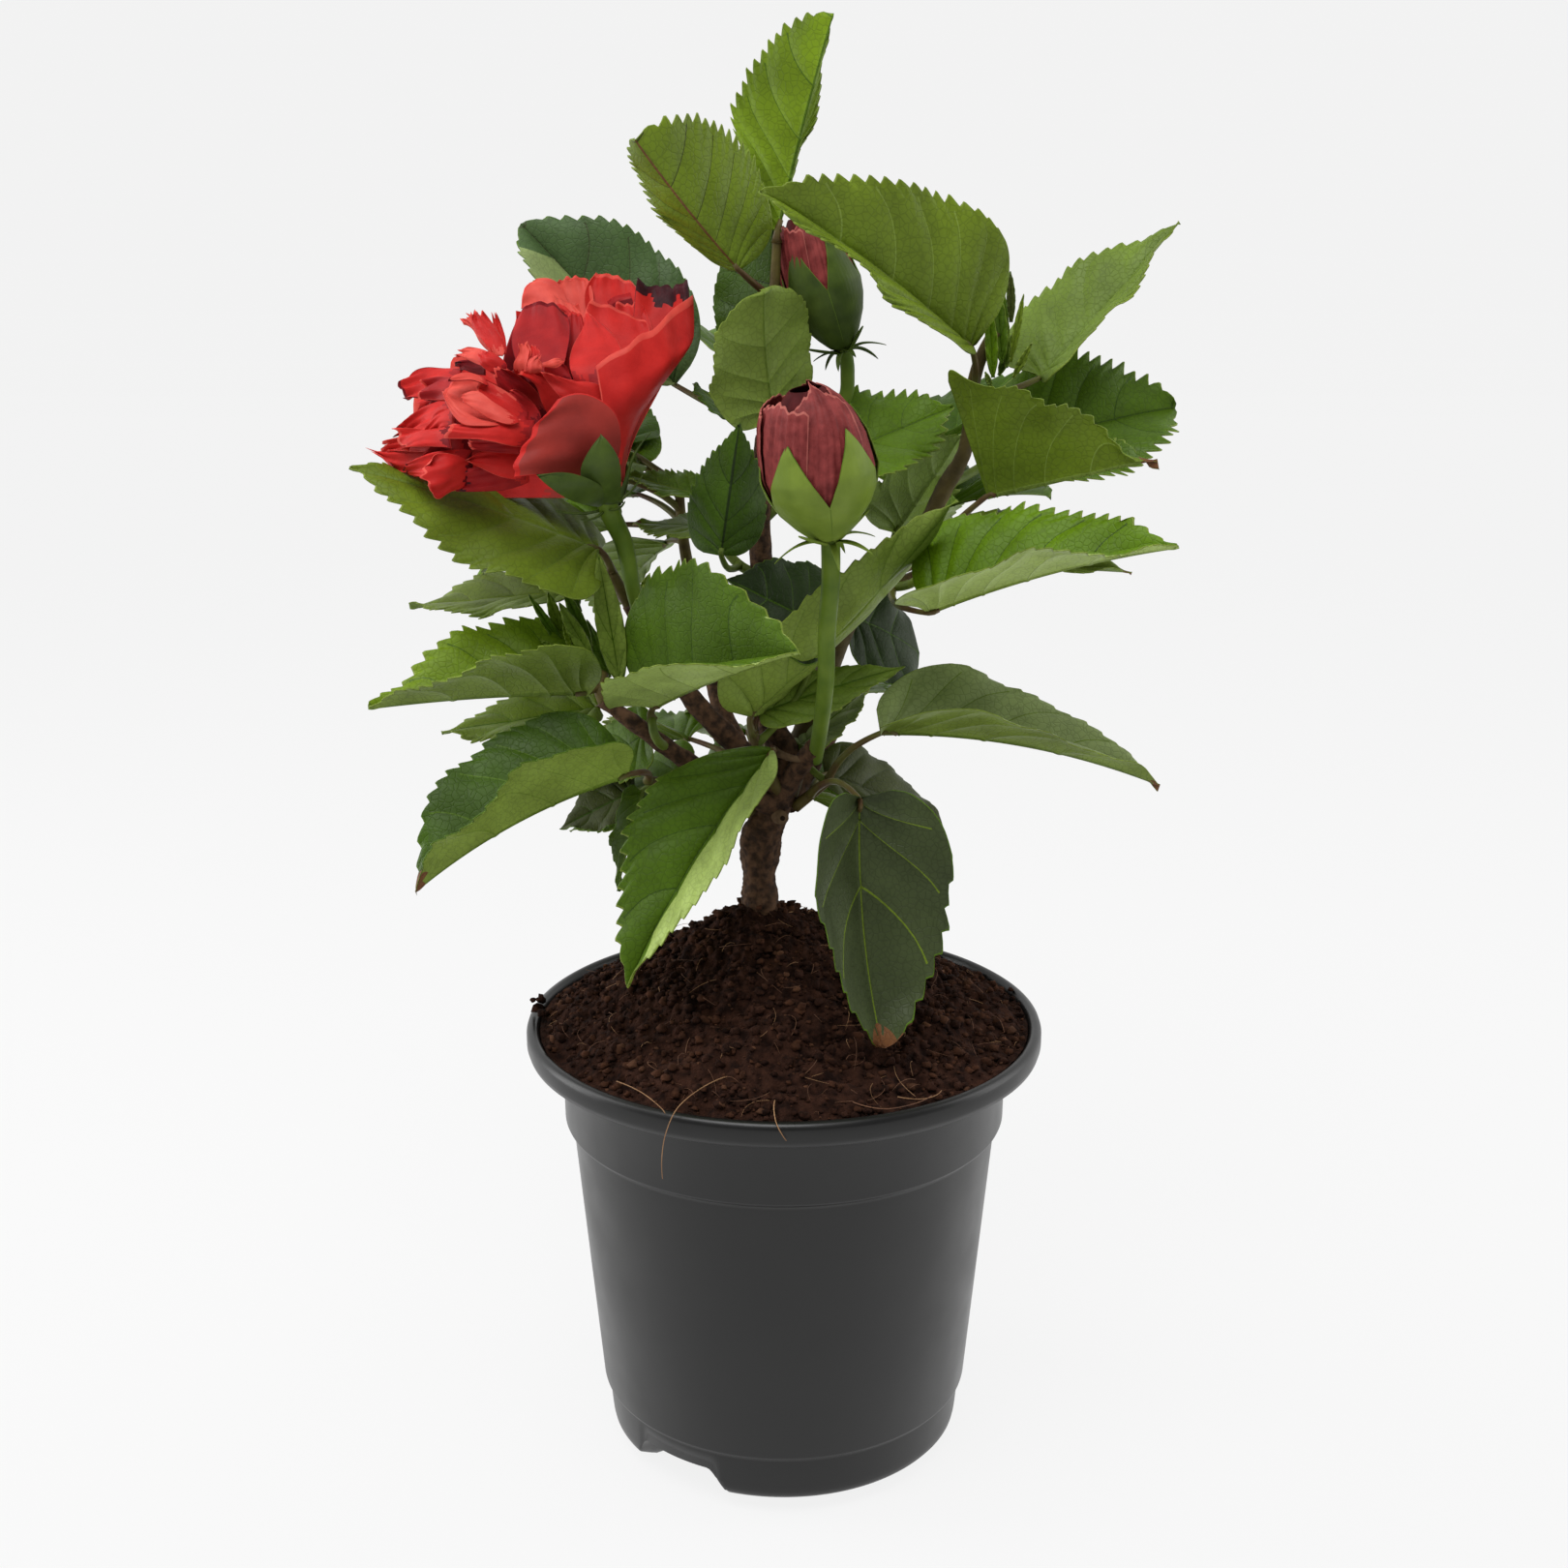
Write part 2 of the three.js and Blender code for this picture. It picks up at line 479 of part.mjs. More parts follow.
foliage("foliage_right_back", RIGHT_BACK_STEM, 1.5, 1.2, RIGHT_BACK);
foliage("foliage_left_upper", LEFT_UPPER_STEM, 1.9, 1.4, LEFT_UPPER);
foliage("foliage_left_lower", LEFT_LOWER_STEM, 1.8, 1.5, LEFT_LOWER, [
  youngLeaf([-49, -15, 236], 130, 78, 30), youngLeaf([-50, -16, 237], 175, 66, 26), youngLeaf([-49, -15, 237], 200, 50, 24),
]);
foliage("foliage_left_front", LEFT_FRONT_STEM, 1.4, 1.2, LEFT_FRONT);
foliage("foliage_left_under", LEFT_UNDER_STEM, 1.8, 1.3, LEFT_UNDER);
foliage("foliage_center", CENTER_STEM, 1.8, 1.4, CENTER);
foliage("foliage_right_low", RIGHT_LOW_STEM, 1.7, 1.4, RIGHT_LOW);
foliage("foliage_back_left", BACK_LEFT_STEM, 1.9, 1.3,
  leavesByRule(BACK_LEFT_STEM, 111, 6, [98, 205], [-5, 50], [14, 22], [44, 60]), [], 5);
foliage("foliage_back_right", BACK_RIGHT_STEM, 1.9, 1.3,
  leavesByRule(BACK_RIGHT_STEM, 202, 6, [15, 88], [16, 56], [14, 22], [44, 60]), [], 5);
foliage("foliage_back_top", BACK_TOP_STEM, 1.8, 1.2,
  leavesByRule(BACK_TOP_STEM, 303, 5, [50, 125], [12, 55], [10, 16], [38, 48]), [], 5);
foliage("foliage_back_low", BACK_LOW_STEM, 1.8, 1.3,
  leavesByRule(BACK_LOW_STEM, 404, 6, [30, 150], [-5, 25], [16, 26], [44, 58]), [], 5);

export default plant;
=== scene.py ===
# %% [markdown]
# # The looks of a small hibiscus in its nursery pot
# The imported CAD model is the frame. This script gives it the surfaces of the real plant: leaves
# with veins and toothed edges, crumpled petals, bark, crumbly potting mix and satin black
# plastic. Sizes and places are written in millimetres, as in the CAD source, and turned into
# metres when a mesh is made. Some of them differ from that source, where a closer look at the
# photograph asked for it, such as three leaves at the back and the drain notch on the left.

# %% Load the frame
import math
from itertools import product

import bpy
import numpy as np
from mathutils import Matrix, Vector


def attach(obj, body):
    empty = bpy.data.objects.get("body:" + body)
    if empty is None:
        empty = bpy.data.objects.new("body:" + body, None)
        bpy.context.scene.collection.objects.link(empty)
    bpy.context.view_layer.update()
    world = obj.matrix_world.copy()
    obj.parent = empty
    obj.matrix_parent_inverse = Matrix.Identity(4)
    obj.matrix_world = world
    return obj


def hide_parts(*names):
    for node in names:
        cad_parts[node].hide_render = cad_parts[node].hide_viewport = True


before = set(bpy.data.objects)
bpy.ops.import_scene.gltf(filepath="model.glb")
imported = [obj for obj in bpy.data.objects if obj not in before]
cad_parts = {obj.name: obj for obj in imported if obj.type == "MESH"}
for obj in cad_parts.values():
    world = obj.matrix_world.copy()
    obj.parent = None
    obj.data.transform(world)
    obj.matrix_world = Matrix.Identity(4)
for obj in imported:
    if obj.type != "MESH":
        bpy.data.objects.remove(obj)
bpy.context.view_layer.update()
MM = 0.001

# %% [markdown]
# ## Camera, light and floor
# The photograph is a plain studio picture: even white surroundings, one soft box on each side
# and one overhead. The pot is round, so its rim and foot show as ellipses, and how flat these
# are tells how high the camera stands. The camera was fitted to them, so that the render and
# the photograph lie on each other.

# %% Camera
CAMERA_BACK = 0.567
CAMERA_UP = 0.3634
CAMERA_PITCH = 15.86
LENS = 47.66

eye = bpy.data.objects.new("camera", bpy.data.cameras.new("camera"))
bpy.context.scene.collection.objects.link(eye)
eye.data.lens = LENS
eye.data.sensor_width = 36
eye.data.clip_end = 50
eye.location = (0, -CAMERA_BACK, CAMERA_UP)
eye.rotation_euler = (math.radians(90 - CAMERA_PITCH), 0, 0)
bpy.context.scene.camera = eye
print("camera at", tuple(round(v, 4) for v in eye.location))

# %% Colours as they look on a screen
def screen(r, g, b):
    """Linear colour from the numbers 0 to 255 that a screen shows."""
    return tuple(((c / 255 + 0.055) / 1.055) ** 2.4 for c in (r, g, b)) + (1.0,)


def shade(colour, amount):
    return tuple(min(1.0, c * amount) for c in colour[:3]) + (1.0,)


PAPER_WHITE = screen(246, 246, 246)
print("paper white is", round(PAPER_WHITE[0], 3), "in linear light")

# %% World and lights
# The plain transform keeps a colour as it is given, so that screen() holds to the end.
bpy.context.scene.view_settings.view_transform = "Standard"
world = bpy.data.worlds.new("studio")
bpy.context.scene.world = world
world.use_nodes = True
world.node_tree.nodes["Background"].inputs["Color"].default_value = PAPER_WHITE
world.node_tree.nodes["Background"].inputs["Strength"].default_value = 0.27


def soft_box(name, place, aim, size, watts):
    light = bpy.data.lights.new(name, "AREA")
    light.shape = "RECTANGLE"
    light.size, light.size_y = size
    light.energy = watts
    box = bpy.data.objects.new(name, light)
    bpy.context.scene.collection.objects.link(box)
    box.location = place
    box.rotation_euler = (Vector(aim) - Vector(place)).to_track_quat("-Z", "Y").to_euler()


soft_box("overhead", (-0.2, -0.45, 1.2), (0, 0, 0.22), (0.9, 0.7), 11)
soft_box("left_box", (-1.0, 0.15, 0.5), (0, 0, 0.2), (0.5, 1.0), 7)
soft_box("right_box", (1.0, 0.15, 0.5), (0, 0, 0.2), (0.5, 1.0), 4.6)
print("3 soft boxes")

# %% Floor that sweeps up into a wall
PAPER_FRONT, BEND_AT, BEND_R, PAPER_TOP, PAPER_HALF = -6.0, 3, 1.5, 8, 9  # metres
PAPER_DROP = 0.0004  # metres, so that the paper and the foot of the pot don't share a plane
BEND_STEPS = 12


def sweep():
    mesh = bpy.data.meshes.new("studio_sweep")
    bend = [(BEND_AT + BEND_R * math.sin(a), BEND_R - BEND_R * math.cos(a) - PAPER_DROP)
            for a in np.linspace(0, math.pi / 2, BEND_STEPS)]
    line = [(PAPER_FRONT, -PAPER_DROP), *bend, (BEND_AT + BEND_R, PAPER_TOP)]
    verts = [(x, y, z) for y, z in line for x in (-PAPER_HALF, PAPER_HALF)]
    quads = [(2 * i, 2 * i + 1, 2 * i + 3, 2 * i + 2) for i in range(len(line) - 1)]
    mesh.from_pydata(verts, [], quads)
    made = bpy.data.objects.new("studio_sweep", mesh)
    bpy.context.scene.collection.objects.link(made)
    mat = bpy.data.materials.new("studio_paper")
    mat.use_nodes = True
    paint = mat.node_tree.nodes["Principled BSDF"]
    grain = mat.node_tree.nodes.new("ShaderNodeTexNoise")
    grain.inputs["Scale"].default_value = 3
    tint = mat.node_tree.nodes.new("ShaderNodeMix")
    tint.data_type = "RGBA"
    tint.inputs["A"].default_value = screen(78, 78, 78)
    tint.inputs["B"].default_value = screen(76, 76, 76)
    mat.node_tree.links.new(grain.outputs["Fac"], tint.inputs["Factor"])
    mat.node_tree.links.new(tint.outputs["Result"], paint.inputs["Base Color"])
    paint.inputs["Roughness"].default_value = 1
    paint.inputs["Specular IOR Level"].default_value = 0
    paint.inputs["Emission Color"].default_value = PAPER_WHITE
    paint.inputs["Emission Strength"].default_value = 0.93
    made.data.materials.append(mat)


sweep()

# %% [markdown]
# ## Surfaces
# Every finish here is the same small recipe with other numbers: two colours dealt out by a
# soft noise, a fine relief from a second noise or a cell pattern, and a roughness that wanders
# a little. Real leaves, bark and plastic differ in scale and contrast, and hardly in kind.

# %% The recipe
def surface(name, low, high, patch=8.0, rough=0.5, swing=0.08, relief=0.1, grain=0.6, cells=False,
            contrast=1.0, shine=0.5):
    """Colour that wanders between two tones over `patch` mm, with relief every `grain` mm."""
    mat = bpy.data.materials.new(name)
    mat.use_nodes = True
    nodes, links = mat.node_tree.nodes, mat.node_tree.links
    shader = nodes["Principled BSDF"]
    shader.inputs["Specular IOR Level"].default_value = shine
    place = nodes.new("ShaderNodeTexCoord").outputs["Object"]

    def noise(size_mm, detail):
        made = nodes.new("ShaderNodeTexNoise")
        made.inputs["Scale"].default_value = 1000 / size_mm
        made.inputs["Detail"].default_value = detail
        links.new(place, made.inputs["Vector"])
        return made.outputs["Fac"]

    def ranged(value, a, b, to_a, to_b):
        made = nodes.new("ShaderNodeMapRange")
        for key, number in (("From Min", a), ("From Max", b), ("To Min", to_a), ("To Max", to_b)):
            made.inputs[key].default_value = number
        links.new(value, made.inputs["Value"])
        return made.outputs["Result"]

    mix = nodes.new("ShaderNodeMix")
    mix.data_type = "RGBA"
    mix.inputs["A"].default_value = low
    mix.inputs["B"].default_value = high
    half_band = 0.2 / contrast
    links.new(ranged(noise(patch, 4), 0.5 - half_band, 0.5 + half_band, 0, 1), mix.inputs["Factor"])
    colour = mix.outputs["Result"]
    bump = nodes.new("ShaderNodeBump")
    bump.inputs["Distance"].default_value = relief * MM
    if cells:
        cell = nodes.new("ShaderNodeTexVoronoi")
        cell.feature = "DISTANCE_TO_EDGE"
        cell.inputs["Scale"].default_value = 1000 / grain
        links.new(place, cell.inputs["Vector"])
        net = ranged(cell.outputs["Distance"], 0, 0.12, 0, 1)
        links.new(net, bump.inputs["Height"])
        darker = nodes.new("ShaderNodeMix")
        darker.data_type = "RGBA"
        darker.blend_type = "MULTIPLY"
        darker.inputs["Factor"].default_value = 1
        links.new(colour, darker.inputs["A"])
        tone = nodes.new("ShaderNodeCombineColor")
        faint = ranged(net, 0, 1, 0.8, 1)
        for key in ("Red", "Green", "Blue"):
            links.new(faint, tone.inputs[key])
        links.new(tone.outputs["Color"], darker.inputs["B"])
        colour = darker.outputs["Result"]
    else:
        links.new(noise(grain, 6), bump.inputs["Height"])
    links.new(colour, shader.inputs["Base Color"])
    links.new(bump.outputs["Normal"], shader.inputs["Normal"])
    wander = ranged(noise(patch * 0.6, 2), 0.3, 0.7, rough - swing, rough + swing)
    links.new(wander, shader.inputs["Roughness"])
    return mat


def painted(name, low, high, look, **own):
    """Surface between two colours of a screen: a look that several share, and what is its own."""
    return surface(name, screen(*low), screen(*high), **{**look, **own})


# %% Leaf tones
TONES = {  # as a screen shows them
    "spring": (110, 136, 26), "moss": (100, 120, 30), "lime": (92, 124, 14), "leaf": (78, 106, 22),
    "deep": (60, 86, 18), "night": (34, 50, 16), "blue": (70, 92, 52), "slate": (62, 72, 42),
    "olive": (62, 70, 26), "sage": (102, 124, 44), "silver": (132, 148, 92), "glow": (136, 158, 58),
    "edge": (118, 136, 52), "brown": (112, 74, 46), "fresh": (120, 140, 58), "pale": (152, 172, 92),
}
TONE_INDEX = {name: i for i, name in enumerate(TONES)}
leaf_finishes = []
for name, values in TONES.items():
    base = screen(*values)
    leaf_finishes.append(surface("leaf_" + name, shade(base, 0.8), shade(base, 1.18), patch=13,
                                 rough=0.45, relief=0.05, grain=1.8, cells=True, shine=0.16))
print(len(leaf_finishes), "leaf tones")

# %% [markdown]
# ## Mesh making
# Petals, leaves and limbs are all grids of points bent in space. They could be modelled one by
# one, but this plant has well over a hundred. So one helper turns lists of such grids into an
# object, and each kind of thing is one piece.

# %% Grids and pieces
def grid_quads(rows, cols, first=0, flip=False):
    """Faces of a rows x cols grid of points, row by row."""
    r, c = np.meshgrid(np.arange(rows - 1), np.arange(cols - 1), indexing="ij")
    a = (first + r * cols + c).ravel()
    quads = np.stack([a, a + 1, a + cols + 1, a + cols], axis=1)
    return quads[:, ::-1] if flip else quads


def piece(name, parts, finishes, replaced):
    """One object from (points in mm, faces, finish index of each face), in the frame's metres."""
    points, faces, marks, first = [], [], [], 0
    for p, f, m in parts:
        points.append(np.asarray(p, float).reshape(-1, 3))
        if isinstance(f, np.ndarray):
            faces += (f + first).tolist()
        else:
            faces += [[i + first for i in face] for face in f]
        marks.append(np.broadcast_to(np.asarray(m), (len(f),)))
        first += len(points[-1])
    mesh = bpy.data.meshes.new(name)
    mesh.from_pydata((np.concatenate(points) * MM).tolist(), [], faces)
    for finish in finishes:
        mesh.materials.append(finish)
    mesh.polygons.foreach_set("material_index", np.concatenate(marks).astype(np.int32))
    mesh.polygons.foreach_set("use_smooth", np.ones(len(faces), bool))
    mesh.update()
    made = bpy.data.objects.new(name, mesh)
    bpy.context.scene.collection.objects.link(made)
    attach(made, "root")
    if replaced:
        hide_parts(*replaced)
    print(name, len(faces), "faces")


def two_sided(top, bottom, marks_top, marks_bottom, rim):
    """Thin closed sheet between two grids of the same size, with a strip round its edge."""
    rows, cols = top.shape[:2]
    count = rows * cols
    edge = [r * cols for r in range(rows)] + [(rows - 1) * cols + c for c in range(1, cols)]
    edge += [r * cols + cols - 1 for r in range(rows - 2, -1, -1)] + list(range(cols - 2, 0, -1))
    edge = np.array(edge)
    after = np.roll(edge, -1)
    strip = np.stack([edge, after, after + count, edge + count], axis=1)
    faces = np.concatenate([grid_quads(rows, cols, 0), grid_quads(rows, cols, count, True), strip])
    marks = np.concatenate([marks_top.ravel(), marks_bottom.ravel(), np.full(len(strip), rim)])
    return np.concatenate([top.reshape(-1, 3), bottom.reshape(-1, 3)]), faces, marks


# %% Directions and paths, as in the CAD source
def toward(heading, rise):
    h, r = math.radians(heading), math.radians(rise)
    return np.array([math.cos(r) * math.cos(h), math.cos(r) * math.sin(h), math.sin(r)])


def unit(v):
    return v / np.linalg.norm(v)


def blade_axes(heading, rise, face):
    t = toward(heading, rise)
    f = toward(*face)
    n = unit(f - t * f.dot(t))
    return t, np.cross(t, n), n


def smooth_path(points, count):
    """Points at even steps along a smooth curve through the given ones."""
    p = np.array(points, float)
    knots = np.concatenate([[0], np.cumsum(np.sqrt(np.linalg.norm(np.diff(p, axis=0), axis=1)))])
    slope = np.empty_like(p)
    slope[1:-1] = (p[2:] - p[:-2]) / (knots[2:] - knots[:-2])[:, None]
    if len(p) > 2:
        slope[0] = 2 * (p[1] - p[0]) / (knots[1] - knots[0]) - slope[1]
        slope[-1] = 2 * (p[-1] - p[-2]) / (knots[-1] - knots[-2]) - slope[-2]
    else:
        slope[:] = (p[1] - p[0]) / knots[1]
    at = np.linspace(0, knots[-1], 40 * len(p))
    k = np.clip(np.searchsorted(knots, at, side="right") - 1, 0, len(p) - 2)
    gap = (knots[k + 1] - knots[k])[:, None]
    s = (at - knots[k])[:, None] / gap
    curve = ((2 * s**3 - 3 * s**2 + 1) * p[k] + (s**3 - 2 * s**2 + s) * gap * slope[k]
             + (3 * s**2 - 2 * s**3) * p[k + 1] + (s**3 - s**2) * gap * slope[k + 1])
    run = np.concatenate([[0], np.cumsum(np.linalg.norm(np.diff(curve, axis=0), axis=1))])
    even = np.linspace(0, run[-1], count)
    return np.stack([np.interp(even, run, curve[:, i]) for i in range(3)], axis=1)


# %% Random numbers and lumps that are the same in every run
def seeded(seed):
    state = seed
    while True:
        state = state * 16807 % 2147483647
        yield state / 2147483647


def lumps(points, size, seed):
    """Smooth random height from -1 to 1 at each point, with lumps about `size` mm across."""
    q = np.asarray(points, float) / size
    cell = np.floor(q).astype(np.int64)
    f = q - cell
    f = f * f * (3 - 2 * f)
    total = np.zeros(q.shape[:-1])
    for corner in product((0, 1), repeat=3):
        c = cell + np.array(corner)
        h = (c[..., 0] * 73856093) ^ (c[..., 1] * 19349663) ^ (c[..., 2] * 83492791) ^ (seed * 7919)
        h = (h ^ (h >> 13)) * 1274126177 & 0x7FFFFFFF
        h = (h ^ (h >> 15)) * 40503 & 0x7FFFFFFF
        weight = np.prod(np.where(np.array(corner) == 1, f, 1 - f), axis=-1)
        total += weight * (h / 0x3FFFFFFF - 1)
    return total


# %% Limbs
def tube(points, r0, r1, sides, step, mark, relief=None, swell=None):
    """Tapering limb with closed ends. relief(points) lifts its skin, in mm."""
    rough_length = np.linalg.norm(np.diff(np.array(points, float), axis=0), axis=1).sum()
    rows = max(4, int(rough_length / step))
    path = smooth_path(points, rows)
    along = np.gradient(path, axis=0)
    along /= np.linalg.norm(along, axis=1)[:, None]
    side = unit(np.cross(along[0], (0.31, 0.52, 0.12)))
    turn = (2 * np.pi * np.arange(sides) / sides)[:, None]
    rings = []
    for k in range(rows):
        side = unit(side - along[k] * side.dot(along[k]))
        other = np.cross(along[k], side)
        u = k / (rows - 1)
        radius = (r0 + (r1 - r0) * u) * (1 if swell is None else swell(u))
        rings.append(path[k] + (np.cos(turn) * side + np.sin(turn) * other) * radius)
    rings = np.array(rings)
    if relief is not None:
        out = rings - path[:, None, :]
        out /= np.linalg.norm(out, axis=2)[:, :, None]
        rings = rings + out * relief(rings)[:, :, None]
    r, c = np.meshgrid(np.arange(rows - 1), np.arange(sides), indexing="ij")
    a, b = r * sides + c, r * sides + (c + 1) % sides
    faces = np.stack([a, b, b + sides, a + sides], axis=-1).reshape(-1, 4).tolist()
    count = rows * sides
    faces += [(count, (c + 1) % sides, c) for c in range(sides)]
    faces += [(count + 1, count - sides + c, count - sides + (c + 1) % sides) for c in range(sides)]
    return np.concatenate([rings.reshape(-1, 3), path[[0, -1]]]), faces, mark


# %% [markdown]
# ## Leaves
# A hibiscus leaf is folded along its midrib and edged with forward teeth. Its side veins leave
# the midrib low and sweep up to every third tooth, and the skin between two veins swells up a
# little. A flat card would show none of that from the side, so a leaf is a grid bent in space.
# The rows of the grid follow the veins, five rows to each tooth, and veins, teeth, edge and the
# two skins fall on faces of their own, which take plain tones.

# %% Measures that the leaves share
OUTLINE_RISE = 0.45
OUTLINE_FALL = 1.15
TEETH_PER_VEIN = 3
FIRST_VEIN = 2.84  # teeth from the foot of the blade to its first side vein
TOOTH_STEPS = (0.0, 0.32, 0.64, 0.8, 0.88)  # rows from one notch to the next
TOOTH_FORM = (0.0, 0.5, 0.94, 1.0, 0.5)  # how far out each of them stands
ACROSS = np.array([0, 0.02, 0.08, 0.17, 0.28, 0.4, 0.53, 0.66, 0.78, 0.89, 0.97, 1.0])
LAST = len(ACROSS) - 2  # column of the faces along the edge, counted from the midrib
SKIN = 0.3  # thickness of a leaf
EDGE_STRIP = 0.2  # width of the pale strip along the edge
VEIN_GROOVE, MIDRIB_GROOVE = 0.12, 0.16  # depth in the upper skin
VEIN_RIDGE, MIDRIB_RIDGE, MIDRIB_END = 0.2, 0.7, 0.1  # height under the lower skin
VEIN_REACH = 2.5  # how far forward the side veins sweep
DROOP = 0.1  # how much the sides of a blade bend back down
TURN = 6.28  # radians in a turn, for waves and their random phases
DARK_TONES = ("night", "deep", "olive", "slate", "blue")


def outline(u, rise, fall):
    """Half-width of a blade from foot (0) to tip (1), where its widest place is 1."""
    peak_at = rise / (rise + fall)
    return np.clip(u, 0, 1) ** rise * np.clip(1 - u, 0, 1) ** fall / (peak_at**rise * (1 - peak_at) ** fall)


# %% Teeth and veins along the edge
def toothed_edge(veins, smooth, random):
    """For each row: its place along the edge, how far its tooth stands out, and if it is on a vein."""
    teeth = TEETH_PER_VEIN * veins
    rows = len(TOOTH_STEPS)
    margin = np.array([(k + step) / teeth for k in range(teeth) for step in TOOTH_STEPS] + [1.0])
    bold = np.repeat([0.7 + 0.6 * next(random) for _ in range(teeth)], rows)
    points_out = np.append(np.array(TOOTH_FORM * teeth) * bold, 0.0) * np.clip((margin - smooth) / 0.2, 0, 1)
    on_vein = np.append(np.tile([0] * (TEETH_PER_VEIN * rows - 2) + [1, 1], veins), 0) > 0
    return margin, points_out, on_vein


# %% Half a blade, laid flat
def flat_half(margin, points_out, own_half, length, shape, lobe, tooth, reach):
    """For each point: share across, share along the midrib, and mm along and out from the foot."""
    at_margin = np.maximum(own_half * outline(margin, *shape), 0.5)
    v = np.tile(ACROSS, (len(margin), 1))
    v[:, -2] = 1 - np.minimum(EDGE_STRIP / at_margin, 0.03)
    v[:, 1] = np.minimum((0.42 - 0.3 * margin) / at_margin, 0.06)  # half the midrib, which tapers
    foot = (margin**reach)[:, None]
    a = foot + (margin[:, None] - foot) * v**1.2
    width = np.maximum(own_half * outline(a, *shape), 0.5 * (1 - a) + 0.02)
    near_edge = np.clip((v - 0.72) / 0.28, 0, 1) ** 1.4
    point = tooth * np.clip(at_margin / 9, 0.25, 1)[:, None] * points_out[:, None] * near_edge
    along = a * length - v**2 * lobe * width * (1 - a) ** 2 + 0.6 * point
    return v, a, along, v * width + point


# %% Tones of a leaf's faces
def leaf_marks(margin, on_vein, tones, rib="sage", mid=None, hem=None, dry=0.95):
    """Tone of each face of the upper skin and of the lower one, and the tone of the rim."""
    step = np.arange(LAST + 1)
    step = np.concatenate([step[::-1], step])[None, :]
    is_vein = (on_vein[:-1, None] & on_vein[1:, None] & (step < LAST - 1)) | (step == 0)
    is_edge = (step == LAST) & np.full((len(margin) - 1, 1), True)
    upper, under, vein = (TONE_INDEX[tone] for tone in tones[:3])
    rim = TONE_INDEX["leaf" if tones[0] in DARK_TONES else "edge"]
    marks_top = np.where(is_edge, rim, np.where(is_vein, vein, upper))
    marks_bottom = np.where(is_edge, rim, np.where(is_vein, TONE_INDEX[rib], under))
    if mid:
        marks_top = np.where(step == 0, TONE_INDEX[mid], marks_top)
    # A paler half is partly painted light. From a given step out, one half of the upper skin takes a paler
    # tone, for the light that falls on that half of the folded blade, and for the paler back where the margin
    # rolls over.
    if hem:  # a margin that is rolled over and shows the paler back
        second_half, first_step, tone = hem
        columns = np.arange(2 * LAST + 2)[None, :]
        on_half = (columns > LAST) if second_half else (columns <= LAST)
        rolled = (step >= first_step) & on_half & (margin[:-1, None] < 0.9)
        marks_top = np.where(rolled, TONE_INDEX[tone], marks_top)
    if len(tones) > 3:  # a dried tip
        dried = margin[:-1, None] + 0.005 * np.sin(1.3 * step) + 0.03 * (step / LAST) ** 2 > dry
        marks_top = np.where(dried, TONE_INDEX["brown"], marks_top)
        marks_bottom = np.where(dried, TONE_INDEX["brown"], marks_bottom)
    return marks_top, marks_bottom, rim


# %% One leaf
def leaf(at, heading, rise, length, half, face, fold, arch, tones, random, veins=6, lobe=0.4, tooth=1.9,
         shape=(OUTLINE_RISE, OUTLINE_FALL), sides=(1, 1), reach=VEIN_REACH, smooth=0.2, **painting):
    """Thin closed leaf whose blade starts at `at`; its tones take what leaf_marks offers."""
    t, s, n = blade_axes(heading, rise, face)
    margin, points_out, on_vein = toothed_edge(veins, smooth, random)
    phase = ((margin * (TEETH_PER_VEIN * veins) - FIRST_VEIN) / TEETH_PER_VEIN) % 1
    waves = [(next(random) * TURN, next(random) * TURN, 1.2 + next(random)) for _ in range(2)]
    curl = (next(random) - 0.5) * 0.05
    cos, sin = math.cos(math.radians(fold)), math.sin(math.radians(fold))
    halves, under_halves = [], []
    for side, factor, (p1, p2, turns) in zip((-1, 1), sides, waves):
        v, a, along, out = flat_half(margin, points_out, half * factor, length, shape, lobe, tooth, reach)
        bulge = np.sin(np.pi * phase)[:, None] * (4 * v * (1 - v)) ** 0.7 * 0.85 * length / 60
        wave = v**2 * half * (0.06 * np.sin(TURN * turns * a + p1) + 0.03 * np.sin(TURN * 3.1 * a + p2))
        wave = wave + v**4 * 0.35 * np.sin(TURN * 5.3 * a + p2)
        lift = arch * length * 4 * a * (1 - a) + out * (sin - DROOP * v) + bulge + wave + curl * length * a**3
        skin = at + along[..., None] * t + (side * out * cos)[..., None] * s + lift[..., None] * n
        on_midrib = v < 1e-6
        normal = np.where(on_midrib[..., None], n, n * cos - side * s * sin)
        vein = on_vein[:, None]
        groove = np.where(vein, VEIN_GROOVE, 0) * (1 - v) + np.where(on_midrib, MIDRIB_GROOVE, 0)
        midrib = np.where(on_midrib, MIDRIB_RIDGE * (1 - a) + MIDRIB_END, 0)
        ridge = np.where(vein, VEIN_RIDGE, 0) * (1 - v) + midrib
        halves.append(skin + normal * (0.5 * SKIN - groove)[..., None])
        under_halves.append(skin - normal * (0.5 * SKIN + ridge)[..., None])
    top = np.concatenate([halves[0][:, :0:-1], halves[1]], axis=1)
    bottom = np.concatenate([under_halves[0][:, :0:-1], under_halves[1]], axis=1)
    return two_sided(top, bottom, *leaf_marks(margin, on_vein, tones, **painting))


print("a leaf with 6 side veins has", 6 * TEETH_PER_VEIN, "teeth on each side")


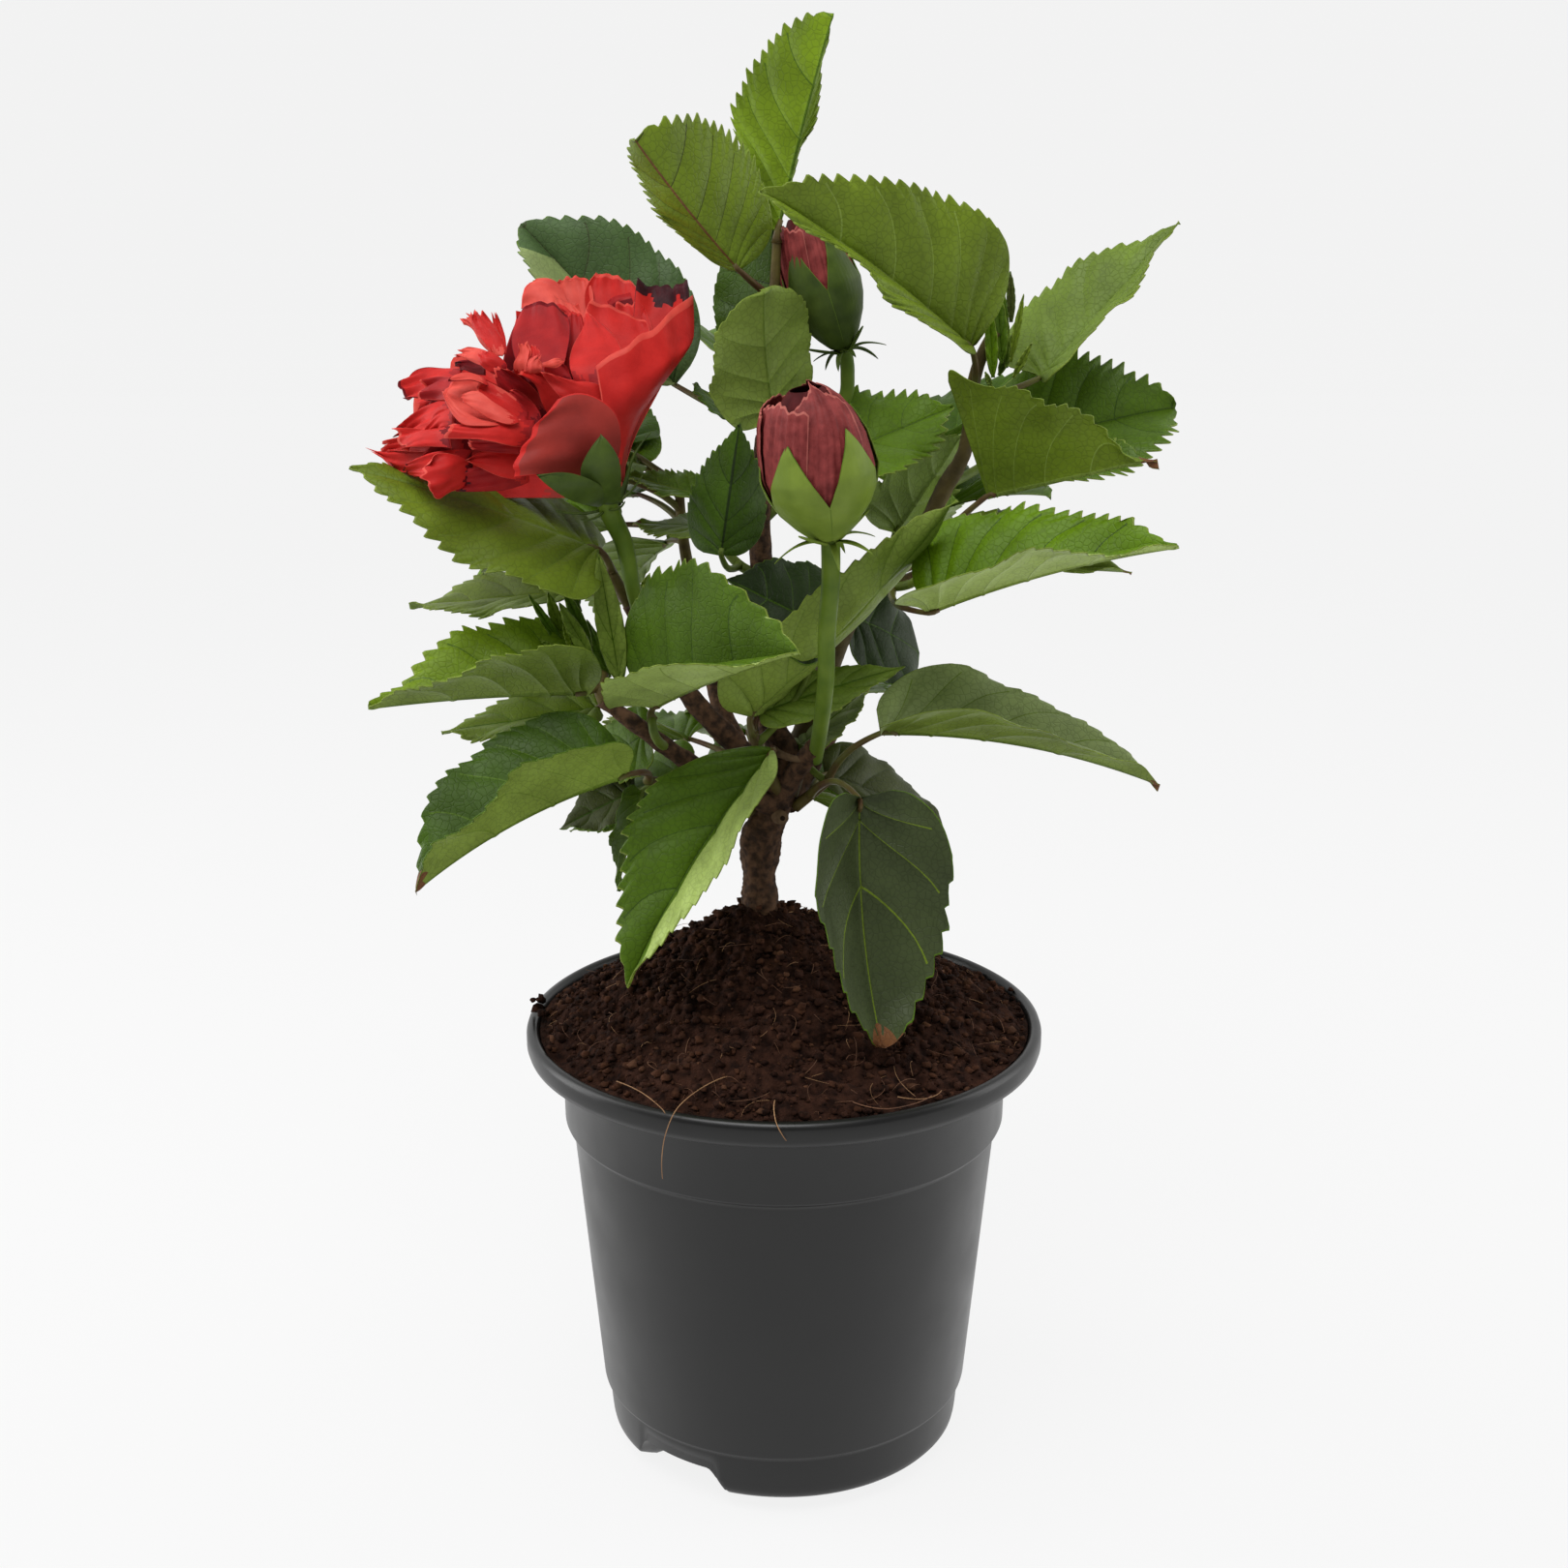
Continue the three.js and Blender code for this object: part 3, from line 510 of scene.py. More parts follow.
# %% The sprays that show in front
# Each row: place on the stem (0-1), start of the blade, heading, rise, length, half-width,
# heading and rise of the face, fold, bow, and the tones of face, back and veins.
SPRAYS = {
    "foliage_top": ([[-5.28, 6, 296.3], [-4, 8, 318], [-2.6, 10, 338], [-1.9, 10, 352]], 2.3, 1.2, [
        (0.98, (-1.8, 10, 354), 42, 69, 60, 19, (141, 4), 29, 0.02, ("spring", "spring", "moss"),
         {"sides": (0.35, 1.03), "shape": (0.8, 0.8), "rib": "leaf", "veins": 7}),
        (0.72, (-12, 2, 344), -148, 47, 45, 25, (-88, -25), -40, 0.05, ("moss", "sage", "olive"),
         {"sides": (0.42, 0.85), "shape": (0.45, 0.55), "veins": 7, "mid": "brown"}),
        (0.14, (-31, 34, 311), 167, 44, 63, 25, (-66, 32), 34, 0, ("blue", "silver", "slate"),
         {"tooth": 1.2, "shape": (0.6, 0.85), "lobe": 0.1, "hem": (0, 0, "silver")}),
        (0.12, (-3, -2, 306), -99, 70, 35, 17.5, (132, 13), 10, 0.05, ("leaf", "fresh", "deep"),
         {"tooth": 0.5, "shape": (0.42, 0.46)}),
        (0.2, (-3, 12, 320), 90, 74, 37, 19.5, (-80, 18), -44, 0, ("deep", "deep", "night"),
         {"tooth": 0.5, "shape": (0.5, 0.42)}),
        (0.12, (-14, 14, 303.5), 140, 31, 17, 9, (-17, 57), 10, 0, ("deep", "leaf", "sage")),
    ]),
    "foliage_mid_left": ([[-7, 8, 261], [-13, 9, 264], [-18, 12, 270]], 1.5, 1.2, [
        (0.4, (-17, -12, 270), -56, 75, 37, 14, (-91, -12), -42, 0.04, ("deep", "leaf", "night"),
         {"tooth": 0.9}),
        (0.9, (-24, 16, 282), 163, 12, 22, 8, (-74, 69), 20, 0, ("leaf", "sage", "sage")),
        (0.95, (-21, 18, 273), 150, -3, 26, 9, (-134, 78), 5, 0, ("sage", "sage", "leaf", "dried")),
    ]),
    "foliage_inner": ([[-6, 8.4, 276], [3, 11, 284], [10, 12, 290]], 1.5, 1.2, [
        (0.96, (15, 12, 294), 17, 19, 36, 19, (-101, 54), 16, 0, ("lime", "sage", "leaf"),
         {"tooth": 2.4}),
    ]),
}

# %% The sprays in front: right
SPRAYS |= {
    "foliage_right_top": ([[50.8, 4, 303], [52, 4, 317], [57, 4, 328]], 2, 1.6, [
        (0.35, (50, -2, 324), -157, 33.5, 73, 29, (-52, 20), 41, 0.04, ("moss", "sage", "fresh"),
         {"sides": (0.45, 0.98), "shape": (0.45, 1.05), "veins": 7, "lobe": 0.12}),
        (0.3, (70, 10, 315), 20, 44, 58, 19, (-144, 45), 26, 0, ("sage", "glow", "sage"),
         {"sides": (1.1, 0.6), "tooth": 1.5}),
    ]),
    "foliage_right_front": ([[27.5, 17, 256.5], [35, 4, 259], [39, 1, 264]], 1.5, 1.2, [
        (0.9, (54.5, -10, 285.5), -22, 15, 47, 41, (134, 68), 60, 0, ("leaf", "moss", "fresh", "dried"),
         {"shape": (0.15, 1.3), "lobe": 0.0, "tooth": 1.2, "sides": (0.6, 1), "rib": "fresh"}),
        (0.3, (38, -22, 256), -18, 18, 69, 25, (-152, 65), 42, 0.03, ("lime", "pale", "deep"),
         {"sides": (1.0, 1.1), "veins": 7, "rib": "fresh"}),
    ]),
    "foliage_right_rear": ([[45.5, 9.5, 286], [54, 18, 289], [58, 20, 292]], 1.4, 1.2, [
        (0.95, (64, 20, 294), 14, 12, 50, 22, (-87, 44), 22, 0.05, ("leaf", "sage", "deep"),
         {"tooth": 2.8, "shape": (0.45, 0.8)}),
    ]),
    "foliage_right_back": ([[22, 18.5, 249], [27, 26, 252], [33, 28, 255]], 1.5, 1.2, [
        (0.95, (46, 24, 261), 10, -3, 57, 17, (-78, 56), 44, 0, ("moss", "sage", "leaf", "dried"),
         {"dry": 0.975, "sides": (1, 0.5)}),
        (0.8, (32, 28, 270), 11, 54, 35, 17, (132, 21), 12, 0, ("leaf", "sage", "leaf")),
        (0.2, (18, 26, 246), 32, -29, 30, 17, (-37, 33), 2, 0.05, ("night", "deep", "deep"),
         {"tooth": 0.2, "shape": (0.5, 0.45)}),
    ]),
}

# %% The sprays in front: left
SPRAYS |= {
    "foliage_left_upper": ([[-41, -8, 253], [-45, -8.5, 261], [-47, -9, 265]], 1.9, 1.4, [
        (0.95, (-50, -10, 271), -171, 20, 69, 23, (-45, 59), -5, 0.02, ("moss", "sage", "sage")),
        (0.3, (-59, 8, 256), 173, -6, 48, 19, (-134, 79), 14, 0, ("fresh", "sage", "glow")),
    ]),
    "foliage_left_lower": ([[-48, -19.6, 230], [-50, -18, 234], [-49, -15, 238]], 1.8, 1.5, [
        (0.6, (-53.5, -21, 234), -164, -1, 58, 24, (-81, 83), 52, 0.02, ("spring", "fresh", "leaf")),
        (0.6, (-52, -1, 225), 180, -10, 45, 16, (-128, 73), 11, 0, ("moss", "sage", "leaf")),
    ]),
    "foliage_left_front": ([[-32.6, -16, 217.6], [-35, -21.4, 222], [-35.8, -20.4, 227]], 1.4, 1.2, [
        (0.95, (-36, -19, 229), -46, 22, 63, 33, (-157, 43), 57, 0.03, ("leaf", "pale", "deep"),
         {"shape": (0.72, 0.9), "sides": (1.05, 0.9), "rib": "fresh"}),
    ]),
    "foliage_left_under": ([[-6, 0.3, 193], [-20, -3, 199], [-30, -8, 204], [-38, -16, 208]], 1.8, 1.3, [
        (0.98, (-41, -35, 215), -151, -20, 65, 26, (-158, 70), 54, 0.05, ("deep", "fresh", "leaf", "dried"),
         {"shape": (0.5, 0.8), "tooth": 1.3, "dry": 0.97, "sides": (0.88, 1)}),
        (0.5, (-39, 6, 216), 163, -37, 26, 12, (-110, 50), 6, 0, ("leaf", "leaf", "deep"),
         {"tooth": 0.6}),
        (0.7, (-43, 4, 199), -175, -26, 24, 12, (-120, 60), 12, 0, ("olive", "olive", "deep"),
         {"tooth": 0.4}),
        (0.75, (-40, -6, 202), -127, -69, 29, 11, (165, 8), 18, 0.02, ("olive", "leaf", "deep"),
         {"tooth": 0.6}),
        (0.25, (-27, 6, 206), 170, -31, 42, 14, (-120, 58), 4, 0, ("leaf", "leaf", "deep"),
         {"tooth": 0.8}),
    ]),
}

# %% The sprays in front: center and low
SPRAYS |= {
    "foliage_center": ([[-1, -2, 200], [-6, -9.6, 212], [-8.4, -11, 220.6]], 1.8, 1.4, [
        (0.95, (-9.2, -12.6, 225.5), -8, 48, 82, 20, (-44, -36), -15, 0.03, ("fresh", "leaf", "sage"),
         {"tooth": 1.0}),
        (0.9, (-7, -8.5, 225), 10, 15, 43, 8, (-100, 45), 8, 0.03, ("sage", "sage", "leaf"),
         {"tooth": 0.6}),
        (0.85, (9, -2, 249), -175, 27, 28, 20, (-52, 47), 14, 0, ("night", "deep", "deep"),
         {"tooth": 0.5}),
        (0.5, (-3, -18, 217), -139, -47, 76, 21, (-123, 42), 38, 0.05, ("leaf", "glow", "deep"),
         {"tooth": 1.7, "hem": (0, 3, "pale"), "lobe": 0.05, "shape": (0.75, 1.15)}),
    ]),
    "foliage_right_low": ([[3, -0.4, 195.5], [9, -2, 201], [13, -4, 205]], 1.7, 1.4, [
        (0.95, (27, -14, 221), 4, -13, 80, 22, (-31, 74), 42, 0.06, ("silver", "fresh", "sage", "dried"),
         {"tooth": 0.5, "dry": 0.98}),
        (0.4, (20, -34, 208), -72, -75, 67, 27, (121, -15), -33, 0.05, ("slate", "slate", "moss", "dried"),
         {"sides": (1, 0.85), "reach": 3.4, "smooth": 0.3,
          "veins": 4, "rib": "moss", "shape": (0.5, 0.85), "tooth": 1.2, "dry": 0.97}),
        (0.5, (12, 8, 203), 18, -29, 43, 16, (-27, 52), 14, 0.04, ("olive", "leaf", "slate"),
         {"tooth": 0.4, "shape": (0.5, 0.8)}),
        (0.9, (4.6, 2, 213), 27, 33, 27, 10, (-147, 55), 6, 0, ("silver", "silver", "sage", "dried"),
         {"tooth": 0.6}),
    ]),
}

# %% [markdown]
# The back of the shrub does not show in the photograph. Its leaves could be placed one by one
# too, but nothing says where, so they follow the same rule as in the CAD source: they turn
# round their stem by the golden angle, within a fan of headings.

# %% The sprays at the back
# Each row: path and radii of the stem, seed, how many leaves, and from-to pairs for heading and
# rise of the stalks, in degrees, and for length of stalk and blade.
BACK_SPRAYS = {
    "foliage_back_left": ([[-27.08, 40.15, 252.3], [-30, 46, 266], [-31, 48, 284]], 1.9, 1.3,
                          111, 6, (98, 205), (-5, 50), (14, 22), (44, 60)),
    "foliage_back_right": ([[30.3, 43.5, 240.8], [33, 48, 258], [34, 50, 278]], 1.9, 1.3,
                           202, 6, (15, 88), (16, 56), (14, 22), (44, 60)),
    "foliage_back_top": ([[-6.32, 10.32, 289.9], [-5, 24, 298], [-3, 34, 310]], 1.8, 1.2,
                         303, 5, (50, 125), (12, 55), (10, 16), (38, 48)),
    "foliage_back_low": ([[-8.51, 6.08, 189.83], [-9, 18, 196], [-8, 30, 206]], 1.8, 1.3,
                         404, 6, (30, 150), (-5, 25), (16, 26), (44, 58)),
}
BACK_TONES = (("leaf", "sage", "sage"), ("lime", "sage", "leaf"), ("deep", "leaf", "leaf"))


def on_path(points, share):
    return smooth_path(points, 101)[int(round(share * 100))]


GOLDEN = 0.618  # share of the fan from one leaf to the next


def leaves_by_rule(stem, seed, count, fan, rise, reach, size):
    random = seeded(seed)
    rows = []
    for i in range(count):
        start = 0.3 + 0.66 * (i + 0.5) / count
        heading = fan[0] + ((i * GOLDEN + 0.1) % 1) * (fan[1] - fan[0])
        up = rise[0] + (rise[1] - rise[0]) * ((i + next(random)) / count)
        stalk = reach[0] + (reach[1] - reach[0]) * next(random)
        length = size[0] + (size[1] - size[0]) * next(random)
        at = on_path(stem, start) + toward(heading, up) * stalk
        turn = (next(random) - 0.5) * 30
        drop = 28 + 14 * next(random)
        half = length * (0.33 + 0.05 * next(random))
        face = (heading + 180, 62 + 10 * next(random))
        fold = 14 + 22 * next(random)
        rows.append((start, at, heading + turn, up - drop, length, half, face, fold, 0.04, BACK_TONES[i % 3]))
    return rows


# Three of them would show where the photograph has sky: moved in mm, raised in degrees, narrowed.
NUDGES = {
    ("foliage_back_left", 5): ((-12, 0, 0), 0, 1.0),
    ("foliage_back_right", 0): ((0, 0, 0), 28, 1.0),
    ("foliage_back_top", 2): ((-10, 0, 0), 0, 0.75),
}
AS_IT_IS = ((0, 0, 0), 0, 1.0)


def nudged(name, k, row):
    shift, raised, narrowed = NUDGES.get((name, k), AS_IT_IS)
    share, at, heading, rise, length, half, *rest = row
    return (share, at + np.array(shift, float), heading, rise + raised, length, half * narrowed, *rest)


for name, (stem, r0, r1, *rule) in BACK_SPRAYS.items():
    rows = [nudged(name, k, row) for k, row in enumerate(leaves_by_rule(stem, *rule))]
    SPRAYS[name] = (stem, r0, r1, rows)
print(sum(len(s[3]) for s in SPRAYS.values()), "leaves in", len(SPRAYS), "sprays")

# %% Leaf stalks
PETIOLE_R = 1.0
TWIG_STEP = 1.5  # mm between the rings of a twig or stalk
BROWN_TWIG, GREEN_TWIG, LEAF_STALK = range(3)


def stalk_of(stem, start_share, at, t, n, length, arch):
    """Path from the stem to just inside the blade, which it meets along the midrib."""
    start = on_path(stem, start_share)
    end = np.array(at, float)
    bend = start + (end - start) * 0.55 - t * 0.12 * np.linalg.norm(end - start)
    inside = end + t * 0.05 * length + n * (0.2 * arch * length - 0.5)
    return [start, bend, end, inside]


def swollen_foot(u):
    return 1 + 0.35 * math.exp(-((u / 0.06) ** 2))


# %% Grow the leaves and their stalks
SIDES_OF_CROWN = ("left", "right", "middle", "back")
leaves = {side: [] for side in SIDES_OF_CROWN}
masses = {side: [] for side in SIDES_OF_CROWN}
twigs = []
for number, (name, (stem, r0, r1, rows)) in enumerate(SPRAYS.items()):
    side = next((side for side in ("back", "left", "right") if name.startswith("foliage_" + side)), "middle")
    masses[side].append(name)
    twigs.append(tube(stem, r0, r1, 10, TWIG_STEP, BROWN_TWIG if r0 > 1.6 else GREEN_TWIG))
    for k, (share, at, heading, rise, length, half, face, fold, arch, tones, *own) in enumerate(rows):
        random = seeded(1000 + 37 * number + k)
        wanted = {"veins": 6 if length > 45 else 5, **(own[0] if own else {})}
        place = (np.array(at, float), heading, rise, length, half, face, fold, arch)
        leaves[side].append(leaf(*place, tones, random, **wanted))
        t, s, n = blade_axes(heading, rise, face)
        path = stalk_of(stem, share, at, t, n, length, arch)
        finish = LEAF_STALK if length > 40 else GREEN_TWIG
        twigs.append(tube(path, PETIOLE_R * 1.15, PETIOLE_R * 0.7, 8, TWIG_STEP, finish, swell=swollen_foot))
print({side: len(grown) for side, grown in leaves.items()}, "leaves grown")


# %% Young leaves
YOUNG_FACE, YOUNG_FOLD = (-90, 5), 28  # heading and rise of the face, and fold, in degrees


def young_leaf(foot, tip, half, tones):
    """Small folded blade from foot to tip, with its face turned to the viewer."""
    foot = np.array(foot, float)
    way = np.array(tip, float) - foot
    length = np.linalg.norm(way)
    heading, rise = math.degrees(math.atan2(way[1], way[0])), math.degrees(math.asin(way[2] / length))
    random = seeded(int(1000 + 7 * length))
    return leaf(foot, heading, rise, length, half, YOUNG_FACE, YOUNG_FOLD, 0, tones, random,
                veins=3, lobe=0, tooth=0.25, shape=(0.7, 0.9))


# Two clusters of young leaves and small buds: at the tip of the right bough and low on the left.
YOUNG_RIGHT = [
    ((61.2, 5, 330.2), (60.7, 6, 343.6), 1.3, ("olive", "olive", "deep")),
    ((58.9, 4, 319.3), (57, 4, 339.6), 2.3, ("leaf", "sage", "deep")),
    ((56.4, 2, 315.8), (54.8, 1, 335), 1.9, ("lime", "sage", "leaf")),
    ((61.2, 4, 319.8), (64.1, 3, 337.8), 1.1, ("moss", "sage", "leaf")),
    ((61.9, 2, 315.8), (66.5, 1, 325.1), 1.1, ("moss", "sage", "leaf")),
    ((60.3, 5, 318.1), (59.3, 8, 338.4), 1.2, ("leaf", "sage", "deep")),
    ((58.4, 6, 316), (63.2, 10, 328.1), 1.6, ("leaf", "sage", "deep")),
    ((55.9, 1, 313.3), (54.1, 0, 317.5), 0.8, ("sage", "glow", "sage")),
]
YOUNG_LEFT = [
    ((-44.5, -16, 234.8), (-49.4, -19, 271.7), 4.2, ("fresh", "sage", "leaf")),
    ((-51.8, -18, 242.2), (-60, -21, 258.7), 2.3, ("fresh", "sage", "leaf")),
    ((-52.3, -15, 245.3), (-59.3, -16, 261.5), 2, ("leaf", "sage", "moss")),
    ((-58, -14, 241.9), (-69, -14, 259.5), 1.5, ("leaf", "sage", "moss")),
    ((-55.1, -13, 254.5), (-58.8, -12, 265), 0.8, ("leaf", "sage", "moss")),
    ((-56, -12, 254.9), (-54.9, -11, 262.1), 0.6, ("leaf", "sage", "moss")),
    ((-60.5, -13, 248.4), (-63.8, -13, 259.9), 1.8, ("moss", "sage", "olive")),
    ((-57.1, -19, 244.9), (-59.2, -20, 252), 0.8, ("moss", "sage", "leaf")),
    ((-58.3, -19, 241.1), (-63.3, -20, 242.9), 0.6, ("sage", "glow", "sage")),
    ((-61, -17, 244.7), (-65.8, -18, 247.8), 0.7, ("sage", "glow", "sage")),
    ((-39.3, -6, 254.8), (-37.1, -6, 263.4), 1.8, ("moss", "sage", "leaf")),
    ((-47.7, -12, 236), (-54.1, -8, 251.4), 2, ("leaf", "sage", "moss")),
    ((-51.1, -10, 235.6), (-57.2, -4, 247.9), 2, ("fresh", "sage", "leaf")),
]
leaves["right"] += [young_leaf(*row) for row in YOUNG_RIGHT]
leaves["left"] += [young_leaf(*row) for row in YOUNG_LEFT]
for side in SIDES_OF_CROWN:
    piece("leaves_" + side, leaves[side], leaf_finishes, masses[side])

# %% [markdown]
# ## Bark
# The stem of a young hibiscus is grey-brown and rough, with rings of old leaf scars, and gets
# smoother and greener towards the tips. A bump in the material would leave the outline smooth,
# so the skin of trunk and boughs is itself lifted by lumps of three sizes. Their tubes are one
# piece and run into each other where the CAD solids keep a gap.
# %% Trunk and boughs
HEAP_X = -7
SOIL_TOP = 165
TRUNK = [[HEAP_X, 0, SOIL_TOP - 6], [HEAP_X, 0, 172], [-6.8, 0, 180], [-6.3, 0, 187], [-3.6, 0, 194],
         [-0.8, 0, 200], [0.6, 0, 206]]
BOUGHS = {
    "bough_leader": ([[0.6, 0, 203], [0, 2, 211.5], [-3.6, 4, 218.3], [-5.7, 6, 237.5], [-6.2, 8, 259.2],
                      [-6.5, 8, 272.9], [-6.1, 7, 289], [-5.4, 6, 299.6]], 4.4, 2.3),
    "bough_front": ([[-1.4, -1, 196], [0.8, -2.6, 202.6], [4.8, -7.4, 210.2], [7.4, -10, 214.2],
                     [8.6, -11.4, 216]], 3.1, 2.7),
    "bough_right": ([[0.2, 1.5, 199], [3.4, 5.6, 208], [8.6, 13, 221.5], [17.2, 18, 243.4],
                     [26.2, 18, 255.2], [34.1, 14, 268.6], [39.3, 12, 273.6], [44.4, 10, 284.7],
                     [49.2, 6, 294.5], [50.8, 4, 306.6]], 3.8, 2),
    "bough_left_upper": ([[-0.8, -0.6, 201], [-16.2, -6, 218.2], [-25.4, -8, 228.9], [-31.9, -8, 239.4],
                          [-37.7, -8, 248.7], [-42, -8, 255.8]], 3.6, 2.3),
    "bough_left_lower": ([[-2.5, -1.5, 196], [-21.5, -11, 208.6], [-29.3, -14, 214.6], [-41.1, -18, 224.8],
                          [-49, -20, 231.6]], 3.2, 2),
    "bough_back_left": ([[-2.5, 1.5, 196], [-16, 20, 214], [-23, 32, 234], [-27, 40, 252]], 3.4, 2),
    "bough_back_right": ([[0.5, 1.5, 196], [14, 24, 212], [24, 36, 228], [30, 43, 240]], 3.4, 2),
}
OLD_BARK, YOUNG_BARK, HOLLOW_SHADE, SCAR = range(4)


def bark_relief(strength):
    """Lift of the skin by lumps of three sizes, drawn out along the limb."""
    def lift(p):
        squeezed = p * np.array([1, 1, 0.55])
        drawn_out = 0.55 * lumps(squeezed, 3.2, 5) + 0.4 * lumps(squeezed, 1.3, 9)
        return strength * (drawn_out + 0.25 * lumps(p, 0.7, 12))
    return lift


def flare(u):
    """Swelling of the trunk at its root and again at the fork, with rings of old leaf scars."""
    root = 0.16 * math.exp(-((u / 0.16) ** 2))
    fork = 0.32 * math.exp(-(((u - 0.56) / 0.12) ** 2))
    rings = 0.02 * math.sin(34 * u) + 0.015 * math.sin(61 * u + 1)
    return 1 + root + fork + rings


def ringed(u):
    return 1 + 0.05 * math.sin(40 * u)


woody = [tube(TRUNK, 5.1, 4.2, 48, 0.45, OLD_BARK, bark_relief(0.9), flare)]
for name, (points, r0, r1) in BOUGHS.items():
    mark = YOUNG_BARK if name == "bough_right" else OLD_BARK
    woody.append(tube(points, r0, r1, 22, 0.9, mark, bark_relief(0.3), ringed))
woody += [  # a short stump with a dark hollow in its end, and the stub of a twig
    tube([[-2.4, -2, 193.8], [-0.8, -5.4, 194], [-0.4, -6.4, 194.1]], 2.6, 1.8, 16, 0.5, SCAR,
         bark_relief(0.2)),
    # A dark plug in the end of the stump: painted shade in its hollow.
    tube([[-1, -5, 194], [-0.3, -6.7, 194.1]], 0.9, 0.7, 10, 0.5, HOLLOW_SHADE),
    tube([[-3, -1, 212.6], [1.5, -8.5, 212.4], [7, -10.5, 212.2]], 1.3, 0.8, 12, 0.6, SCAR,
         bark_relief(0.15)),
]

# %% Finishes of bark and twigs
BARK = {"patch": 2, "relief": 0.2, "grain": 0.7}
TWIG = {"grain": 0.8, "shine": 0.25}
bark_finishes = [
    painted("old_bark", (48, 34, 25), (94, 68, 49), BARK, patch=2.2, rough=0.85, relief=0.4, contrast=1.5,
            shine=0.2),
    painted("young_bark", (58, 48, 24), (86, 74, 38), BARK, patch=6, rough=0.7, grain=1.0, shine=0.25),
    # Painted shade, for the hollow in the stump's end.
    painted("bark_hollow_shade", (22, 14, 10), (38, 26, 18), BARK, rough=0.9, shine=0.1),
    painted("bark_scar", (84, 66, 48), (112, 90, 68), BARK, rough=0.8, shine=0.15),
]
piece("trunk_and_boughs", woody, bark_finishes, ["trunk", *BOUGHS])
twig_finishes = [
    painted("twig_brown", (70, 56, 30), (92, 82, 36), TWIG, patch=5, rough=0.65, relief=0.12),
    painted("twig_green", (70, 88, 24), (98, 114, 36), TWIG, patch=6, rough=0.55, relief=0.06),
    painted("leaf_stalk", (84, 58, 38), (88, 88, 38), TWIG, patch=9, rough=0.5, relief=0.05, contrast=1.5),
]
piece("twigs", twigs, twig_finishes, [])

# %% [markdown]
# ## The open flower
# A double hibiscus has broad outer petals and a crowd of crumpled smaller ones in place of
# stamens. One petal copied round an axis would look like a toy, because no two of the real ones
# lie alike. So each petal is a thin sheet stretched between two edges of its own, with fine
# ribs, a hollow or a swell in its middle, and a margin that ruffles more the further out it is.

# %% The flower's own directions
# Places in the flower are given as they are seen: right, up and near, in mm from its foot.
BLOOM_BASE = np.array([-47.3, -16, 284])
RIGHT, UP, NEAR = np.array([1.0, 0, 0]), np.array([0, 0.2733, 0.9619]), np.array([0, -0.9619, 0.2733])
EYE_RIGHT, EYE_UP, EYE_DEPTH = 47.3, -73.9, 551.7  # where the middle of the view lies, seen from the foot
DEPTH_FRONT, DEPTH_BACK = 2.1, 1.15  # how much deeper the flower is than its table


def seen(right, up, near):
    near = near * (DEPTH_FRONT if near > 0 else DEPTH_BACK)
    k = 1 - near / EYE_DEPTH
    across, above = EYE_RIGHT + (right - EYE_RIGHT) * k, EYE_UP + (up - EYE_UP) * k
    return BLOOM_BASE + across * RIGHT + above * UP + near * NEAR


print("the flower's foot is at", BLOOM_BASE.tolist(), "mm")


# %% Two edges that face the viewer
def facing_edges(left, right, rows):
    """The two edges as rows of points, the way along the petal at each row, and the way out of its face."""
    a = smooth_path([seen(*p) for p in left], rows)[:, None]
    b = smooth_path([seen(*p) for p in right], rows)[:, None]
    along = np.gradient(((a + b) / 2)[:, 0], axis=0)
    along /= np.linalg.norm(along, axis=1)[:, None]
    out = unit(np.cross((b - a)[:, 0], along).sum(axis=0))
    return (a, b, along, out) if out.dot(NEAR) > 0 else (b, a, along, -out)


# %% Tones of a petal's faces
def petal_marks(tones, u, v, phases):
    """Tone of each face in front and at the back: own tone, foot, margin and, on some, a dried tip."""
    front, back, rim, foot, *dried = tones
    streak = 0.05 * np.sin(7 * v + phases[1]) + 0.03 * np.sin(19 * v + phases[0])
    torn = 0.05 * np.sin(5 * v + phases[0]) + 0.02 * np.sin(12 * v)
    first = int(0.35 * (len(u) + 1))  # the first row that has a margin of another tone
    marks = []
    for tone in (front, back):
        own = np.where(u + streak < 0.14, foot, tone)
        if dried:
            own = np.where(u + torn > 0.85, dried[0], own)
        # The strip along the margin paints light. A lighter tone paints the highlight where the edge catches
        # the light, a darker one the shade along it, and the dried tone the dried edge.
        own[first:, 0] = own[first:, -1] = rim
        own[-1, :] = rim
        marks.append(own)
    return *marks, rim


# %% One petal
PETAL_THICK = 0.24
PETAL_ROWS, PETAL_COLS = 24, 25


